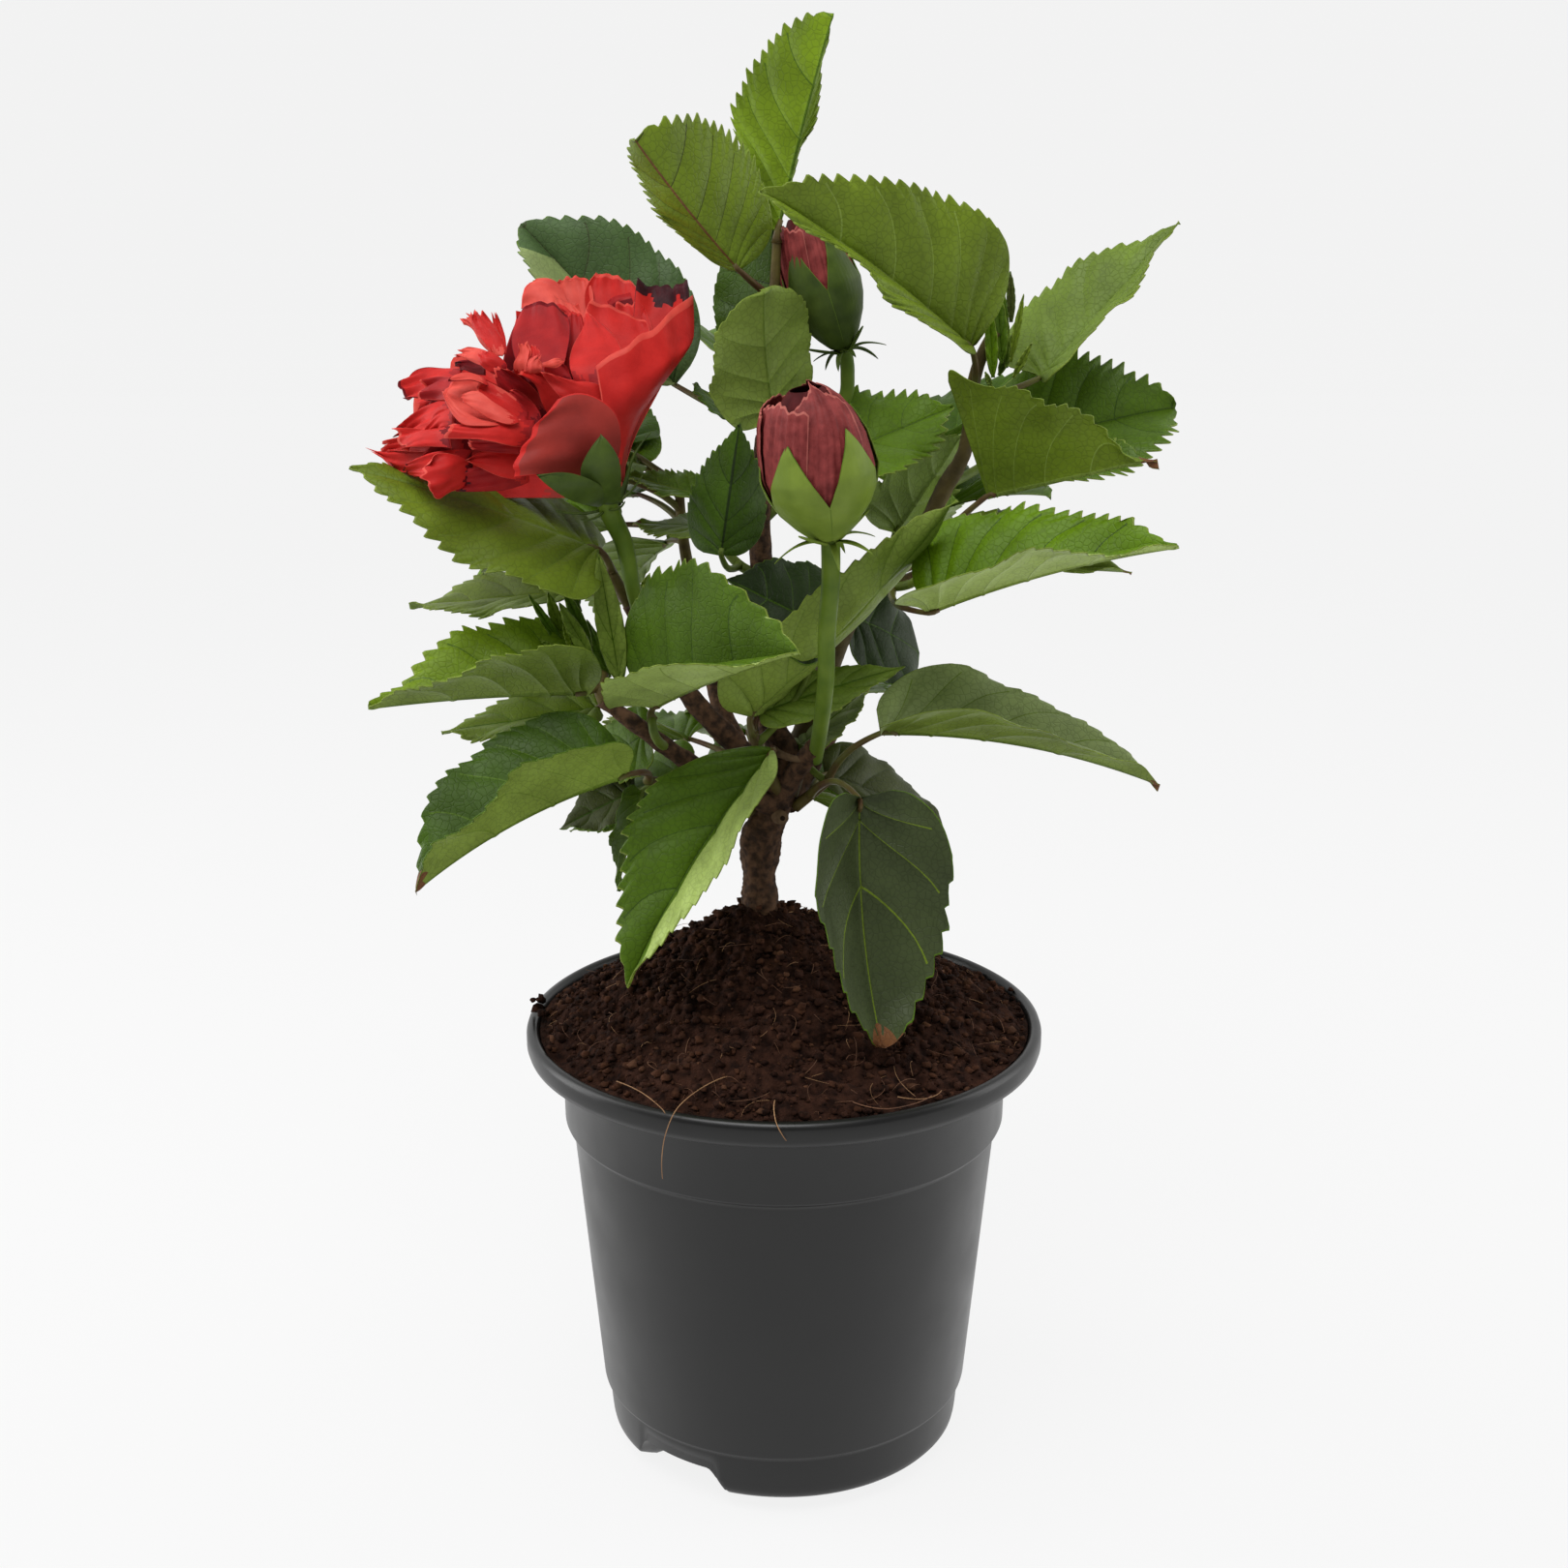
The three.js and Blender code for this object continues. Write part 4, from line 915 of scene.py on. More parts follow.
def sheet(left, right, belly, dome, ruffle, jag, tones, random, rows=PETAL_ROWS, cols=PETAL_COLS):
    """Petal between two edges, each a list of places from foot to tip. Belly is the swell of its
    middle towards the viewer."""
    a, b, along, out = facing_edges(left, right, rows)
    u = np.concatenate([np.linspace(0, 0.985, rows - 1), [1.0]])[:, None]
    v = np.concatenate([[-1], np.linspace(-0.98, 0.98, cols - 2), [1]])[None, :]
    half = np.linalg.norm(b - a, axis=2) / 2
    phases = [next(random) * TURN for _ in range(6)]
    notch = 0.5 * np.sin(5 * v + phases[0]) + 0.35 * np.sin(11 * v + phases[1])
    notch = notch + 0.5 * np.abs(np.sin(7 * v + phases[4])) - 0.5
    ahead = u**5 * (dome * (1 - v**2) + 1.1 * jag * notch * (1 - v**6))
    edge = u**1.4 * np.abs(v) ** 1.2 + 0.7 * u**4
    waves = np.sin(6 * u + 3.1 * v + phases[2]) + 0.6 * np.sin(9.5 * v + 5 * u + phases[3])
    wave = 0.8 * ruffle * edge * waves
    crease = 0.35 * ruffle * u * np.sin(4.3 * v + 2.6 * u + phases[5]) * (1 - 0.4 * u)
    ribs = 0.09 * np.cos(v * 34 + phases[5]) * u * (1 - 0.5 * u)
    lift = belly * half * (1 - v**2) + wave + crease + ribs
    skin = a + (b - a) * ((v + 1) / 2)[..., None] + ahead[..., None] * along[:, None] + lift[..., None] * out
    back_off = PETAL_THICK / 2 * out
    return two_sided(skin + back_off, skin - back_off, *petal_marks(tones, u[:-1], v[:, :-1], phases))


print("a petal has", 2 * (PETAL_ROWS - 1) * (PETAL_COLS - 1), "faces on its two sides")


# %% [markdown]
# The petals were placed against the photograph, one by one and roughly from the back to
# the front. A rule would be shorter, but would not give these petals. Each row has one edge, the
# other edge, the belly, how far the tip domes, how much the margin ruffles and how jagged it is,
# and the tones of front, back, margin, foot and, on some, the dried tip.

# %% The outer ring and the petals behind the middle
# The red of the petals is one colour. The lighter tones, the pink one and the one for margins, are copies of
# it painted light where petals and edges face the light. The darker ones, crimson and deep, are copies
# painted shade on petals that lie back in the flower and in its folds, and at the feet of petals, which are
# also darker of their own.
RED, DEEP, LIT_RED, DRIED, OUTER, HIGHLIGHT, CRIMSON = range(7)
OUTER_RING = [
    ([(-3, 3, -4), (2, 16, -14), (3, 34, -24), (4, 50, -27)],
     [(4, 3, -3), (7, 16, -8), (15, 32, -16), (19, 46, -20)],
     0.1, 3, 1.8, 1.2, (OUTER, RED, HIGHLIGHT, OUTER)),
    ([(-5, 3, -4), (-14, 16, -14), (-24, 34, -24), (-24, 50, -26)],
     [(1, 3, -4), (4, 18, -16), (4, 38, -26), (2, 54, -28)],
     0.2, 3, 1.8, 1.2, (RED, OUTER, HIGHLIGHT, OUTER)),
    ([(-6, 3, -2), (-22, 9, -10), (-38, 14, -18), (-52, 20, -20)],
     [(-4, 4, -5), (-14, 18, -18), (-26, 32, -26), (-34, 42, -26)],
     0.2, 3, 2, 1.6, (RED, OUTER, HIGHLIGHT, OUTER)),
    ([(-7, 2, 0), (-24, 2, -6), (-40, 4, -12), (-52, 8, -14)],
     [(-5, 4, -3), (-18, 12, -14), (-36, 20, -20), (-54, 18, -18)],
     0.25, 3, 2, 1.6, (RED, OUTER, HIGHLIGHT, OUTER)),
    ([(-10, 20, -8), (-16, 32, -14), (-22, 42, -16), (-24, 52, -17)],
     [(2, 20, -8), (4, 34, -16), (4, 46, -20), (2, 56, -22)],
     -0.3, 2, 1.4, 1, (CRIMSON, RED, RED, DEEP)),
    ([(-14, 12, -4), (-28, 16, -8), (-42, 18, -10), (-56, 15, -10)],
     [(-12, 18, -8), (-22, 28, -12), (-36, 34, -14), (-46, 33, -14)],
     -0.3, 2, 2, 1.6, (CRIMSON, RED, RED, DEEP)),
    ([(-24, 24.5, -6), (-27.5, 36, -9), (-25.5, 44.5, -12), (-22, 51, -15)],
     [(-1, 24.5, -4), (6.5, 36, -9), (8.5, 47.5, -15), (6.5, 56, -18)],
     -0.25, 0, 1, 0.6, (DEEP, CRIMSON, CRIMSON, DEEP)),
]
print(len(OUTER_RING), "petals in the outer ring and behind the middle")

# %% The petals at the top
TOP_PETALS = [
    ([(1.5, 36, -7), (6, 45, -10), (8, 52.5, -12), (9.5, 59, -13)],
     [(5.5, 36, -4), (16.5, 45.5, -6), (22, 50.5, -7), (22.5, 58.5, -8)],
     -0.2, 0.6, 1.4, 1.1, (RED, RED, DRIED, CRIMSON, DRIED)),
    ([(-2.5, 40.5, -12), (-5, 49.5, -17), (-5.5, 56.5, -19), (-3, 62.5, -19)],
     [(5, 40.5, -10), (10, 48, -14), (9.5, 54, -16), (7.5, 59, -18)],
     -0.2, 0.6, 1, 0.4, (RED, RED, HIGHLIGHT, CRIMSON)),
    ([(-9.5, 41.5, -11), (-13, 49.5, -18), (-14, 57, -20), (-12.5, 60.5, -20)],
     [(-3, 41.5, -11), (-3, 49.5, -17), (-3.5, 56.5, -19), (-5, 60.5, -20)],
     -0.2, 0.4, 0.8, 0.4, (LIT_RED, RED, HIGHLIGHT, CRIMSON)),
    ([(-10.5, 47.5, -10), (-15, 51, -11), (-19, 53, -12), (-22.5, 53, -13)],
     [(-8.5, 50, -13), (-11, 55.5, -16), (-13.5, 59.5, -18), (-17, 60.5, -18)],
     0.3, 1.6, 0.5, 0.2, (LIT_RED, LIT_RED, HIGHLIGHT, RED)),
    ([(-12.5, 45.5, -8), (-13, 50, -10), (-13.5, 53, -11), (-14, 55, -12)],
     [(-6.5, 45.5, -8), (-6, 49, -10), (-6.5, 51, -11), (-7.5, 53, -12)],
     -0.2, 1, 0.6, 0.3, (LIT_RED, RED, HIGHLIGHT, CRIMSON)),
    ([(-10, 47.5, -8), (-11, 51, -9), (-12.5, 52, -9), (-13.5, 53, -10)],
     [(-6.5, 45.5, -7), (-7.5, 49, -8), (-9, 51, -9), (-11, 53, -10)],
     0.3, 0.6, 0.4, 0.2, (RED, LIT_RED, HIGHLIGHT, RED)),
    ([(2, 38.5, -8), (2.5, 45.5, -10), (2.5, 50, -12), (3, 53, -13)],
     [(10, 40, -5), (12, 44.5, -8), (12, 48, -9), (9.5, 53, -12)],
     -0.1, 1.2, 0.8, 0.3, (RED, RED, HIGHLIGHT, CRIMSON)),
    ([(-3.5, 32.5, 0), (-6.5, 40, -4), (-6.5, 47.5, -7), (-4, 53.5, -10)],
     [(4, 32.5, 0), (8.5, 39.5, -3), (11.5, 44.5, -5), (10.5, 48, -8)],
     -0.1, 2.8, 0.7, 0.3, (RED, RED, HIGHLIGHT, CRIMSON)),
    ([(-12.5, 32.5, -2), (-11, 40.5, -3), (-10.5, 46, -5), (-10, 51, -7)],
     [(-6, 32.5, -2), (-5.5, 40.5, -4), (-5.5, 47, -6), (-6.5, 51, -8)],
     -0.3, 0.5, 0.6, 0.4, (CRIMSON, RED, RED, DEEP)),
    ([(-20.5, 32.5, 2), (-24, 38.5, 0), (-25, 45, -4), (-22.5, 52.5, -8)],
     [(-13, 32.5, 4), (-10.5, 39.5, 2), (-9.5, 45.5, -2), (-10.5, 51, -6)],
     0.12, 2, 0.9, 0.5, (CRIMSON, RED, DEEP, DEEP)),
    ([(-6.5, 29.5, 3), (-9.5, 36, 3), (-9, 41.5, 0), (-6.5, 47, -3), (-5.5, 51, -6)],
     [(1, 29.5, 5), (4, 37, 3), (4, 41.5, 1), (0.5, 47, -3), (-4.5, 51, -6)],
     0.12, 0.5, 0.5, 0.3, (RED, RED, HIGHLIGHT, CRIMSON)),
]
print(len(TOP_PETALS), "petals at the top")

# %% Small curled petals at the upper left
SMALL_CURLS = [
    ([(-29.5, 39.5, 2), (-33, 42.5, 1), (-36, 47, 0), (-38, 48, -1)],
     [(-28, 40, 3), (-30, 43.5, 2), (-33.5, 47.5, 0), (-36, 51, -2)],
     0.2, 0.6, 0.7, 1.6, (LIT_RED, RED, HIGHLIGHT, RED)),
    ([(-28.5, 39.5, 0), (-29.5, 44, -1), (-30, 47.5, -2), (-30.5, 50.5, -3)],
     [(-26.5, 40, 0), (-26.5, 42.5, -1), (-27, 45.5, -2), (-29, 50, -3)],
     0.2, 0.6, 0.6, 1.4, (RED, LIT_RED, HIGHLIGHT, CRIMSON)),
    ([(-30, 39, 4), (-32, 42.5, 4), (-35.5, 47.5, 2), (-35.5, 50.5, 1)],
     [(-27.5, 39.5, 5), (-27, 42.5, 4), (-29.5, 47.5, 3), (-32.5, 51, 1)],
     0.25, 0.8, 0.8, 2, (RED, LIT_RED, HIGHLIGHT, LIT_RED)),
    ([(-32, 36.5, 5), (-35.5, 38, 4), (-38, 39, 3), (-40, 39.5, 2)],
     [(-31, 40.5, 5), (-33.5, 41.5, 4), (-35.5, 41.5, 3), (-37.5, 41, 2)],
     0.2, 0.8, 0.8, 1.4, (LIT_RED, RED, HIGHLIGHT, RED)),
    ([(-29.5, 34.5, 6), (-32, 36, 6), (-33.5, 37.5, 6), (-34, 40, 5)],
     [(-26.5, 36, 6), (-26.5, 37.5, 6), (-28.5, 39.5, 6), (-31, 40.5, 5)],
     0.3, 0.8, 0.7, 1, (RED, LIT_RED, HIGHLIGHT, CRIMSON)),
    ([(-32, 34.5, 3), (-35.5, 35, 2), (-38, 36, 1), (-39.5, 37, 0)],
     [(-32, 37, 3), (-34, 38, 1), (-36.5, 38, 0), (-39, 37.5, 0)],
     0.1, 0.5, 0.8, 1.4, (DEEP, CRIMSON, DRIED, DEEP)),
    ([(-24, 34.5, 5), (-24.5, 37.5, 6), (-23.5, 40, 6), (-23, 42, 6)],
     [(-21, 34.5, 6), (-20.5, 38, 7), (-20, 40.5, 7), (-21, 43, 6)],
     -0.4, 0.8, 0.7, 1.2, (LIT_RED, RED, HIGHLIGHT, RED)),
    ([(-21.5, 34.5, 6), (-21, 37.5, 7), (-20.5, 40, 7), (-20, 42.5, 6)],
     [(-18.5, 34.5, 6), (-18, 37.5, 7), (-17.5, 40, 7), (-18, 41.5, 6)],
     -0.4, 0.8, 0.7, 1.2, (RED, LIT_RED, HIGHLIGHT, CRIMSON)),
    ([(-21.5, 35, 8), (-21, 36.5, 9), (-20.5, 38.5, 9), (-18.5, 39.5, 9)],
     [(-18, 35, 8), (-17, 36, 9), (-17, 37.5, 9), (-17.5, 38.5, 9)],
     0.4, 0.6, 0.5, 0.8, (LIT_RED, LIT_RED, HIGHLIGHT, RED)),
    ([(-18, 37, 8), (-15.5, 36.5, 9), (-13, 36.5, 10), (-11, 38, 10)],
     [(-18, 37.5, 8), (-16, 38, 9), (-13.5, 39, 10), (-11.5, 38.5, 10)],
     0.3, 0.2, 0.2, 0.2, (HIGHLIGHT, LIT_RED, HIGHLIGHT, LIT_RED)),
    ([(-15, 33.5, 5), (-16.5, 36, 6), (-15.5, 37.5, 6), (-14, 38.5, 5)],
     [(-9, 33, 5), (-9.5, 34.5, 5), (-10.5, 36.5, 5), (-12, 37.5, 5)],
     -0.2, 0.5, 0.5, 0.6, (CRIMSON, RED, RED, DEEP)),
]
print(len(SMALL_CURLS), "small curled petals")

# %% The folds under them and the petals at the left
LEFT_FOLDS = [
    ([(-29.5, 19.5, 0), (-30.5, 27, -2), (-28.5, 32.5, -4), (-24.5, 36.5, -6)],
     [(-11, 21, 0), (-10.5, 28, -2), (-11, 32.5, -4), (-12.5, 37, -6)],
     -0.35, 0, 0.8, 0.5, (DEEP, CRIMSON, CRIMSON, DEEP)),
    ([(-17.5, 22, 2), (-24, 25.5, 5), (-28, 29.5, 7), (-30, 33.5, 8)],
     [(-15, 23, 2), (-18, 29.5, 4), (-21.5, 33, 6), (-27, 36.5, 7)],
     -0.3, 1, 0.8, 0.5, (CRIMSON, RED, HIGHLIGHT, DEEP)),
    ([(-14.5, 22.5, 3), (-17, 27, 5), (-19, 32, 6), (-23.5, 35, 7)],
     [(-9, 23.5, 4), (-9, 28.5, 5), (-10.5, 32, 5), (-17, 35.5, 6)],
     -0.2, 0.8, 0.9, 0.4, (RED, RED, HIGHLIGHT, CRIMSON)),
    ([(-9, 25.5, 6), (-12.5, 29, 7), (-15, 32, 7), (-17.5, 35.5, 7)],
     [(0, 26.5, 6), (-1, 30, 6), (-2, 32, 6), (-9, 33, 7)],
     0.15, 0.4, 0.6, 0.3, (RED, RED, HIGHLIGHT, CRIMSON)),
    ([(-19, 21, 5), (-24, 25, 6), (-26.5, 28.5, 7), (-28, 30.5, 7)],
     [(-17, 22, 5), (-18.5, 26, 5), (-21.5, 29, 6), (-24.5, 30.5, 6)],
     -0.3, 0.4, 0.5, 0.5, (CRIMSON, DEEP, HIGHLIGHT, DEEP)),
    ([(-37, 15, 2), (-41, 15, 1), (-45, 14.5, 0), (-49.5, 14, -1)],
     [(-36.5, 32.5, -1), (-41, 32, -2), (-45, 30, -3), (-49, 26.5, -4)],
     0.1, 0.6, 1.4, 1, (CRIMSON, RED, RED, DEEP)),
    ([(-39.5, 27, 3), (-44.5, 27.5, 1), (-49.5, 28, -1), (-54, 28.5, -3)],
     [(-38, 36, -1), (-43, 36.5, -3), (-47.5, 36, -5), (-52.5, 33, -6)],
     0.2, 1.2, 1.7, 1, (RED, RED, DEEP, CRIMSON)),
    ([(-39, 28, 5), (-42, 28, 4), (-45.5, 28, 2), (-49, 27.5, 1)],
     [(-39.5, 33.5, 4), (-42, 34, 2), (-45, 34, 1), (-48, 32.5, 0)],
     0.3, 0.8, 1.3, 1, (CRIMSON, RED, HIGHLIGHT, DEEP)),
    ([(-39.5, 20.5, 5), (-44.5, 20, 3), (-49.5, 19.5, 1), (-55, 17.5, -1)],
     [(-40, 28.5, 4), (-44.5, 27.5, 2), (-49, 25, 0), (-53.5, 20, -1)],
     0.2, 0.8, 1.6, 1.6, (RED, RED, DEEP, CRIMSON)),
    ([(-40, 19.5, 7), (-43, 20.5, 6), (-45, 19.5, 5), (-47, 17, 4)],
     [(-40, 25.5, 7), (-42, 25.5, 6), (-44.5, 24.5, 5), (-47, 22, 4)],
     0.3, 0.8, 1.3, 1, (RED, LIT_RED, HIGHLIGHT, CRIMSON)),
    ([(-40, 11, 5), (-47, 9.5, 3), (-54.5, 9, 1), (-60.5, 13, -1)],
     [(-41, 18.5, 4), (-49, 17, 1), (-55.5, 16, -1), (-61.5, 15, -2)],
     0.15, 0.6, 1.5, 2.6, (RED, LIT_RED, HIGHLIGHT, RED)),
    ([(-41, 14, 6), (-46.5, 14, 4), (-51.5, 14, 2), (-58.5, 14.5, 0)],
     [(-41.5, 19.5, 5), (-47, 19, 3), (-52.5, 18.5, 1), (-58.5, 16.5, -1)],
     0.2, 0.6, 1.4, 2.2, (RED, RED, HIGHLIGHT, CRIMSON)),
    ([(-41, 15, 8), (-44.5, 15.5, 7), (-48.5, 15.5, 6), (-52.5, 13.5, 4)],
     [(-41, 21, 8), (-44.5, 20.5, 6), (-48.5, 20.5, 4), (-55, 19, 1)],
     0.25, 0.6, 1.4, 1.6, (RED, CRIMSON, HIGHLIGHT, DEEP)),
]
print(len(LEFT_FOLDS), "folds and petals at the left")

# %% The heart and the petals below it
HEART = [
    ([(-21, 25, 8), (-26.5, 30, 9), (-33.5, 33, 9), (-41, 32.5, 8)],
     [(-21, 22, 10), (-28.5, 21.5, 12), (-36.5, 22, 12), (-43, 28.5, 10)],
     -0.35, 1.6, 0.5, 0.3, (LIT_RED, RED, HIGHLIGHT, CRIMSON)),
    ([(-20.5, 24.5, 8), (-24.5, 28, 9), (-28.5, 31, 9), (-33, 33, 9)],
     [(-20.5, 22, 9), (-24.5, 23, 10), (-29, 25.5, 11), (-34, 30, 11)],
     -0.3, 0.6, 0.5, 0.3, (RED, RED, HIGHLIGHT, CRIMSON)),
    ([(-24, 23.5, 11), (-29.5, 27, 12), (-34, 30, 12), (-38, 29, 12)],
     [(-23, 22, 12), (-26.5, 21.5, 13), (-32, 23.5, 13), (-37.5, 27, 13)],
     0.25, 0.6, 0.4, 0.3, (LIT_RED, LIT_RED, HIGHLIGHT, RED)),
    ([(-31.5, 32.5, 9), (-34.5, 34.5, 10), (-38.5, 35, 10), (-41.5, 33.5, 10)],
     [(-31.5, 31.5, 10), (-35.5, 33, 11), (-39, 33, 11), (-41.5, 32.5, 11)],
     0.3, 0.4, 0.5, 0.6, (HIGHLIGHT, RED, DEEP, RED)),
    ([(-27.5, 22, 11), (-33, 22.5, 13), (-38, 25, 13), (-42.5, 29.5, 12)],
     [(-26.5, 21.5, 12), (-33, 21, 14), (-39, 22, 14), (-43.5, 30, 12)],
     0.2, 0.2, 0.3, 0.2, (LIT_RED, LIT_RED, HIGHLIGHT, LIT_RED)),
    ([(-19, 22.5, 9), (-26.5, 22, 12), (-34, 21.5, 13), (-40, 22, 13)],
     [(-20, 16, 10), (-24.5, 15.5, 12), (-34, 17.5, 14), (-42.5, 18.5, 14)],
     0.25, 0.8, 0.8, 0.5, (RED, RED, HIGHLIGHT, CRIMSON)),
    ([(-20, 18.5, 9), (-26, 17, 11), (-31.5, 17, 12), (-36.5, 17, 12)],
     [(-20, 13, 9), (-24.5, 13.5, 10), (-30, 14, 11), (-35.5, 14.5, 11)],
     0.2, 0.5, 0.7, 0.6, (CRIMSON, RED, HIGHLIGHT, DEEP)),
    ([(-35.5, 19.5, 4), (-39.5, 18.5, 5), (-44, 17.5, 5), (-47.5, 14, 5)],
     [(-35.5, 7, 5), (-39.5, 7, 6), (-44, 7, 6), (-51, 7.5, 4)],
     0.1, 0.6, 1.2, 0.8, (CRIMSON, RED, RED, DEEP)),
    ([(-35.5, 14.5, 5), (-41, 14.5, 6), (-47, 13.5, 6), (-53, 11, 4)],
     [(-39, 7, 6), (-43, 6.5, 7), (-47.5, 7, 6), (-53.5, 8.5, 3)],
     0.2, 0.6, 1.3, 1.2, (RED, RED, DEEP, CRIMSON)),
    ([(-20.5, 15, 8), (-27.5, 15, 10), (-32, 14.5, 11), (-37, 12, 12)],
     [(-21.5, 6.5, 8), (-28, 7.5, 10), (-33.5, 10, 11), (-37, 11.5, 12)],
     0.2, 0.4, 0.8, 0.6, (RED, CRIMSON, HIGHLIGHT, CRIMSON)),
    ([(-20.5, 13, 6), (-27.5, 11, 8), (-34, 10, 9), (-41, 9.5, 9)],
     [(-20.5, 6, 6), (-26.5, 4, 7), (-34, 3.5, 8), (-40, 3.5, 9)],
     0.2, 0.4, 0.9, 0.5, (CRIMSON, DEEP, DEEP, RED, DRIED)),
    ([(-35.5, 11, 8), (-41, 13.5, 11), (-45, 13.5, 12), (-47.5, 11.5, 12)],
     [(-37, 4.5, 8), (-41, 3.5, 10), (-44.5, 1.5, 11), (-47.5, 3.5, 12)],
     0.3, 1.4, 1.5, 0.8, (RED, LIT_RED, HIGHLIGHT, DEEP)),
]
print(len(HEART), "petals in the heart and below it")

# %% The two broad petals in front
FRONT_PETALS = [
    ([(-4, 6, 5), (-11, 7.5, 10), (-18, 8, 13), (-24.5, 7.5, 14)],
     [(1, 6, 5), (4, 17.5, 9), (2, 25, 11), (-5.5, 29.5, 12), (-13, 28, 13)],
     0.06, 3.2, 0.8, 0.9, (OUTER, CRIMSON, RED, OUTER)),
    ([(-3, 6, 4), (-2, 15.5, 6), (-1, 25.5, 8), (-2, 37, 8)],
     [(5, 6, 2), (6, 15.5, 2), (9.2, 24, 2), (13, 29.5, 2), (18, 36, 2), (22.5, 42, 1),
      (24, 46, -1), (24, 56, -4)],
     0.16, 1.2, 1.1, 0.8, (RED, CRIMSON, HIGHLIGHT, OUTER)),
]
print(len(FRONT_PETALS), "broad petals in front")
# %% Grow the petals
random = seeded(907)
PETALS = OUTER_RING + TOP_PETALS + SMALL_CURLS + LEFT_FOLDS + HEART + FRONT_PETALS
flower = [sheet(*row, random) for row in PETALS]
PETAL = {"patch": 7, "rough": 0.55, "relief": 0.08, "grain": 0.7, "shine": 0.16}
# Lighter and darker copies of the one red. The pink and margin tones are painted light. The crimson and deep
# ones are painted shade, also at the feet of petals, which are darker of their own too.
petal_finishes = [
    painted("petal_red", (170, 26, 24), (200, 40, 35), PETAL),
    painted("petal_deep", (88, 8, 16), (124, 16, 24), PETAL, patch=6, rough=0.6, shine=0.1),
    painted("petal_lit_red", (194, 62, 54), (220, 88, 76), PETAL, patch=6),
    painted("petal_dried", (36, 8, 16), (72, 14, 24), PETAL, patch=3, rough=0.6, relief=0.15, grain=0.6,
            shine=0.2),
    painted("petal_outer", (132, 42, 36), (160, 52, 44), PETAL, patch=10),
    # Painted highlight, for the margins and small petals that catch the light.
    painted("petal_highlight", (194, 58, 50), (212, 76, 64), PETAL, patch=5, relief=0.05),
    painted("petal_crimson", (134, 16, 22), (170, 30, 30), PETAL),
]
piece("petals", flower, petal_finishes, [])

# %% [markdown]
# ## Buds, sepals and flower stalks
# A closed bud is five pleated petals wound round each other, standing in a cup of five green
# sepals with a ring of thin bracts below. A plain turned body would show no seams between them.
# So petals and sepals are shells over the same turned body, each covering its own sector, and a
# second set of petals and a dark core, painted shade, fill what shows between the first.

# %% Shells over a bud
BUD_Z = (0, 0.03, 0.11, 0.22, 0.33, 0.44, 0.64, 0.79, 0.88, 0.95, 1.0)
BUD_R = (0.15, 0.32, 0.54, 0.78, 0.93, 1.0, 0.91, 0.75, 0.57, 0.37, 0.13)
SHELL_ROWS, SHELL_COLS, SHELL_THICK = 26, 41, 0.3


def shell(base, axis, radius, height, centre, spread, top, lift, twist, tone, side_top, pleat, rim=None,
          seed=0, spring=0.0):
    """Part of a bud's skin: a sector `spread` wide round `centre`, as high as `top` in its middle and
    `side_top` at its sides. `spring` is how far its tip stands out from the bud."""
    side = unit(np.cross(axis, (0.2, 1, 0.1)))
    other = np.cross(axis, side)
    u = np.append(np.linspace(0, 0.985, SHELL_ROWS - 1), 1.0)[:, None]
    v = np.concatenate([[-1], np.linspace(-0.97, 0.97, SHELL_COLS - 2), [1]])[None, :]
    ragged = pleat * 0.025 * (np.sin(9 * v + seed) + np.sin(23 * v + 2 * seed))
    z = u * (top - (top - side_top) * np.abs(v) ** 1.15 + ragged * u)
    angle = np.radians(centre + spread * v + twist * z)
    body = np.interp(z, BUD_Z, BUD_R)
    pleats = pleat * (np.cos(v * 36 + seed) + 0.5 * np.cos(v * 61)) * np.clip(body / 0.8, 0, 1) ** 2
    r = radius * body * lift + pleats
    r = r + 1.2 * pleat * v * u + spring * radius * u**4

    def place(extra):
        rr = (r + extra)[..., None]
        return (base + (z * height)[..., None] * axis + rr * np.cos(angle)[..., None] * side
                + rr * np.sin(angle)[..., None] * other)

    marks = np.full((SHELL_ROWS - 1, SHELL_COLS - 1), tone)
    rim = tone if rim is None else rim
    marks[-1, :] = rim
    marks[3:, 0] = marks[3:, -1] = rim
    return two_sided(place(SHELL_THICK), place(0), marks, marks, rim)


# %% Bracts
GREEN, PALE_GREEN, MAROON, STALK, MAROON_EDGE, MAROON_SHADE = range(6)
BRACT_ROWS, BRACT_HALF_THICK = 12, 0.2


def round_axis(axis, angle, lean):
    """Direction that leans out from an axis, the direction back in across it, and straight out."""
    side = unit(np.cross((0, 0, 1), axis))
    other = np.cross(axis, side)
    out = side * math.cos(angle) + other * math.sin(angle)
    return axis * math.cos(lean) + out * math.sin(lean), axis * math.sin(lean) - out * math.cos(lean), out


def bract(base, axis, angle, lean, length, half, curve, tone):
    """Thin pointed bract that starts at the foot of a flower and curves."""
    direction, inward, out = round_axis(axis, angle, math.radians(lean))
    side = np.cross(direction, inward)
    u = np.linspace(0, 1, BRACT_ROWS)[:, None]
    v = np.linspace(-1, 1, 5)[None, :]
    width = half * (1 - u) ** 0.7 * (0.6 + 0.8 * u)
    lift = curve * length * u**2 + 0.5 * width * v**2
    skin = (base + out * 2 + (u * length + 0 * v)[..., None] * direction + (v * width)[..., None] * side
            + lift[..., None] * inward)
    marks = np.full((BRACT_ROWS - 1, 4), tone)
    thick = BRACT_HALF_THICK * inward
    return two_sided(skin + thick, skin - thick, marks, marks, tone)


# %% One closed bud
PETAL_SPRING = (0.26, 0.04, 0.0, 0.06, 0.24)  # the two petals on the left have begun to open
PETAL_TOPS = (0.93, 1.0, 0.98, 1.0, 0.92)  # as shares of the height of the bud
INNER_TOPS = (0.95, 0.9, 0.96, 0.9, 0.93)
BRACTS = 9


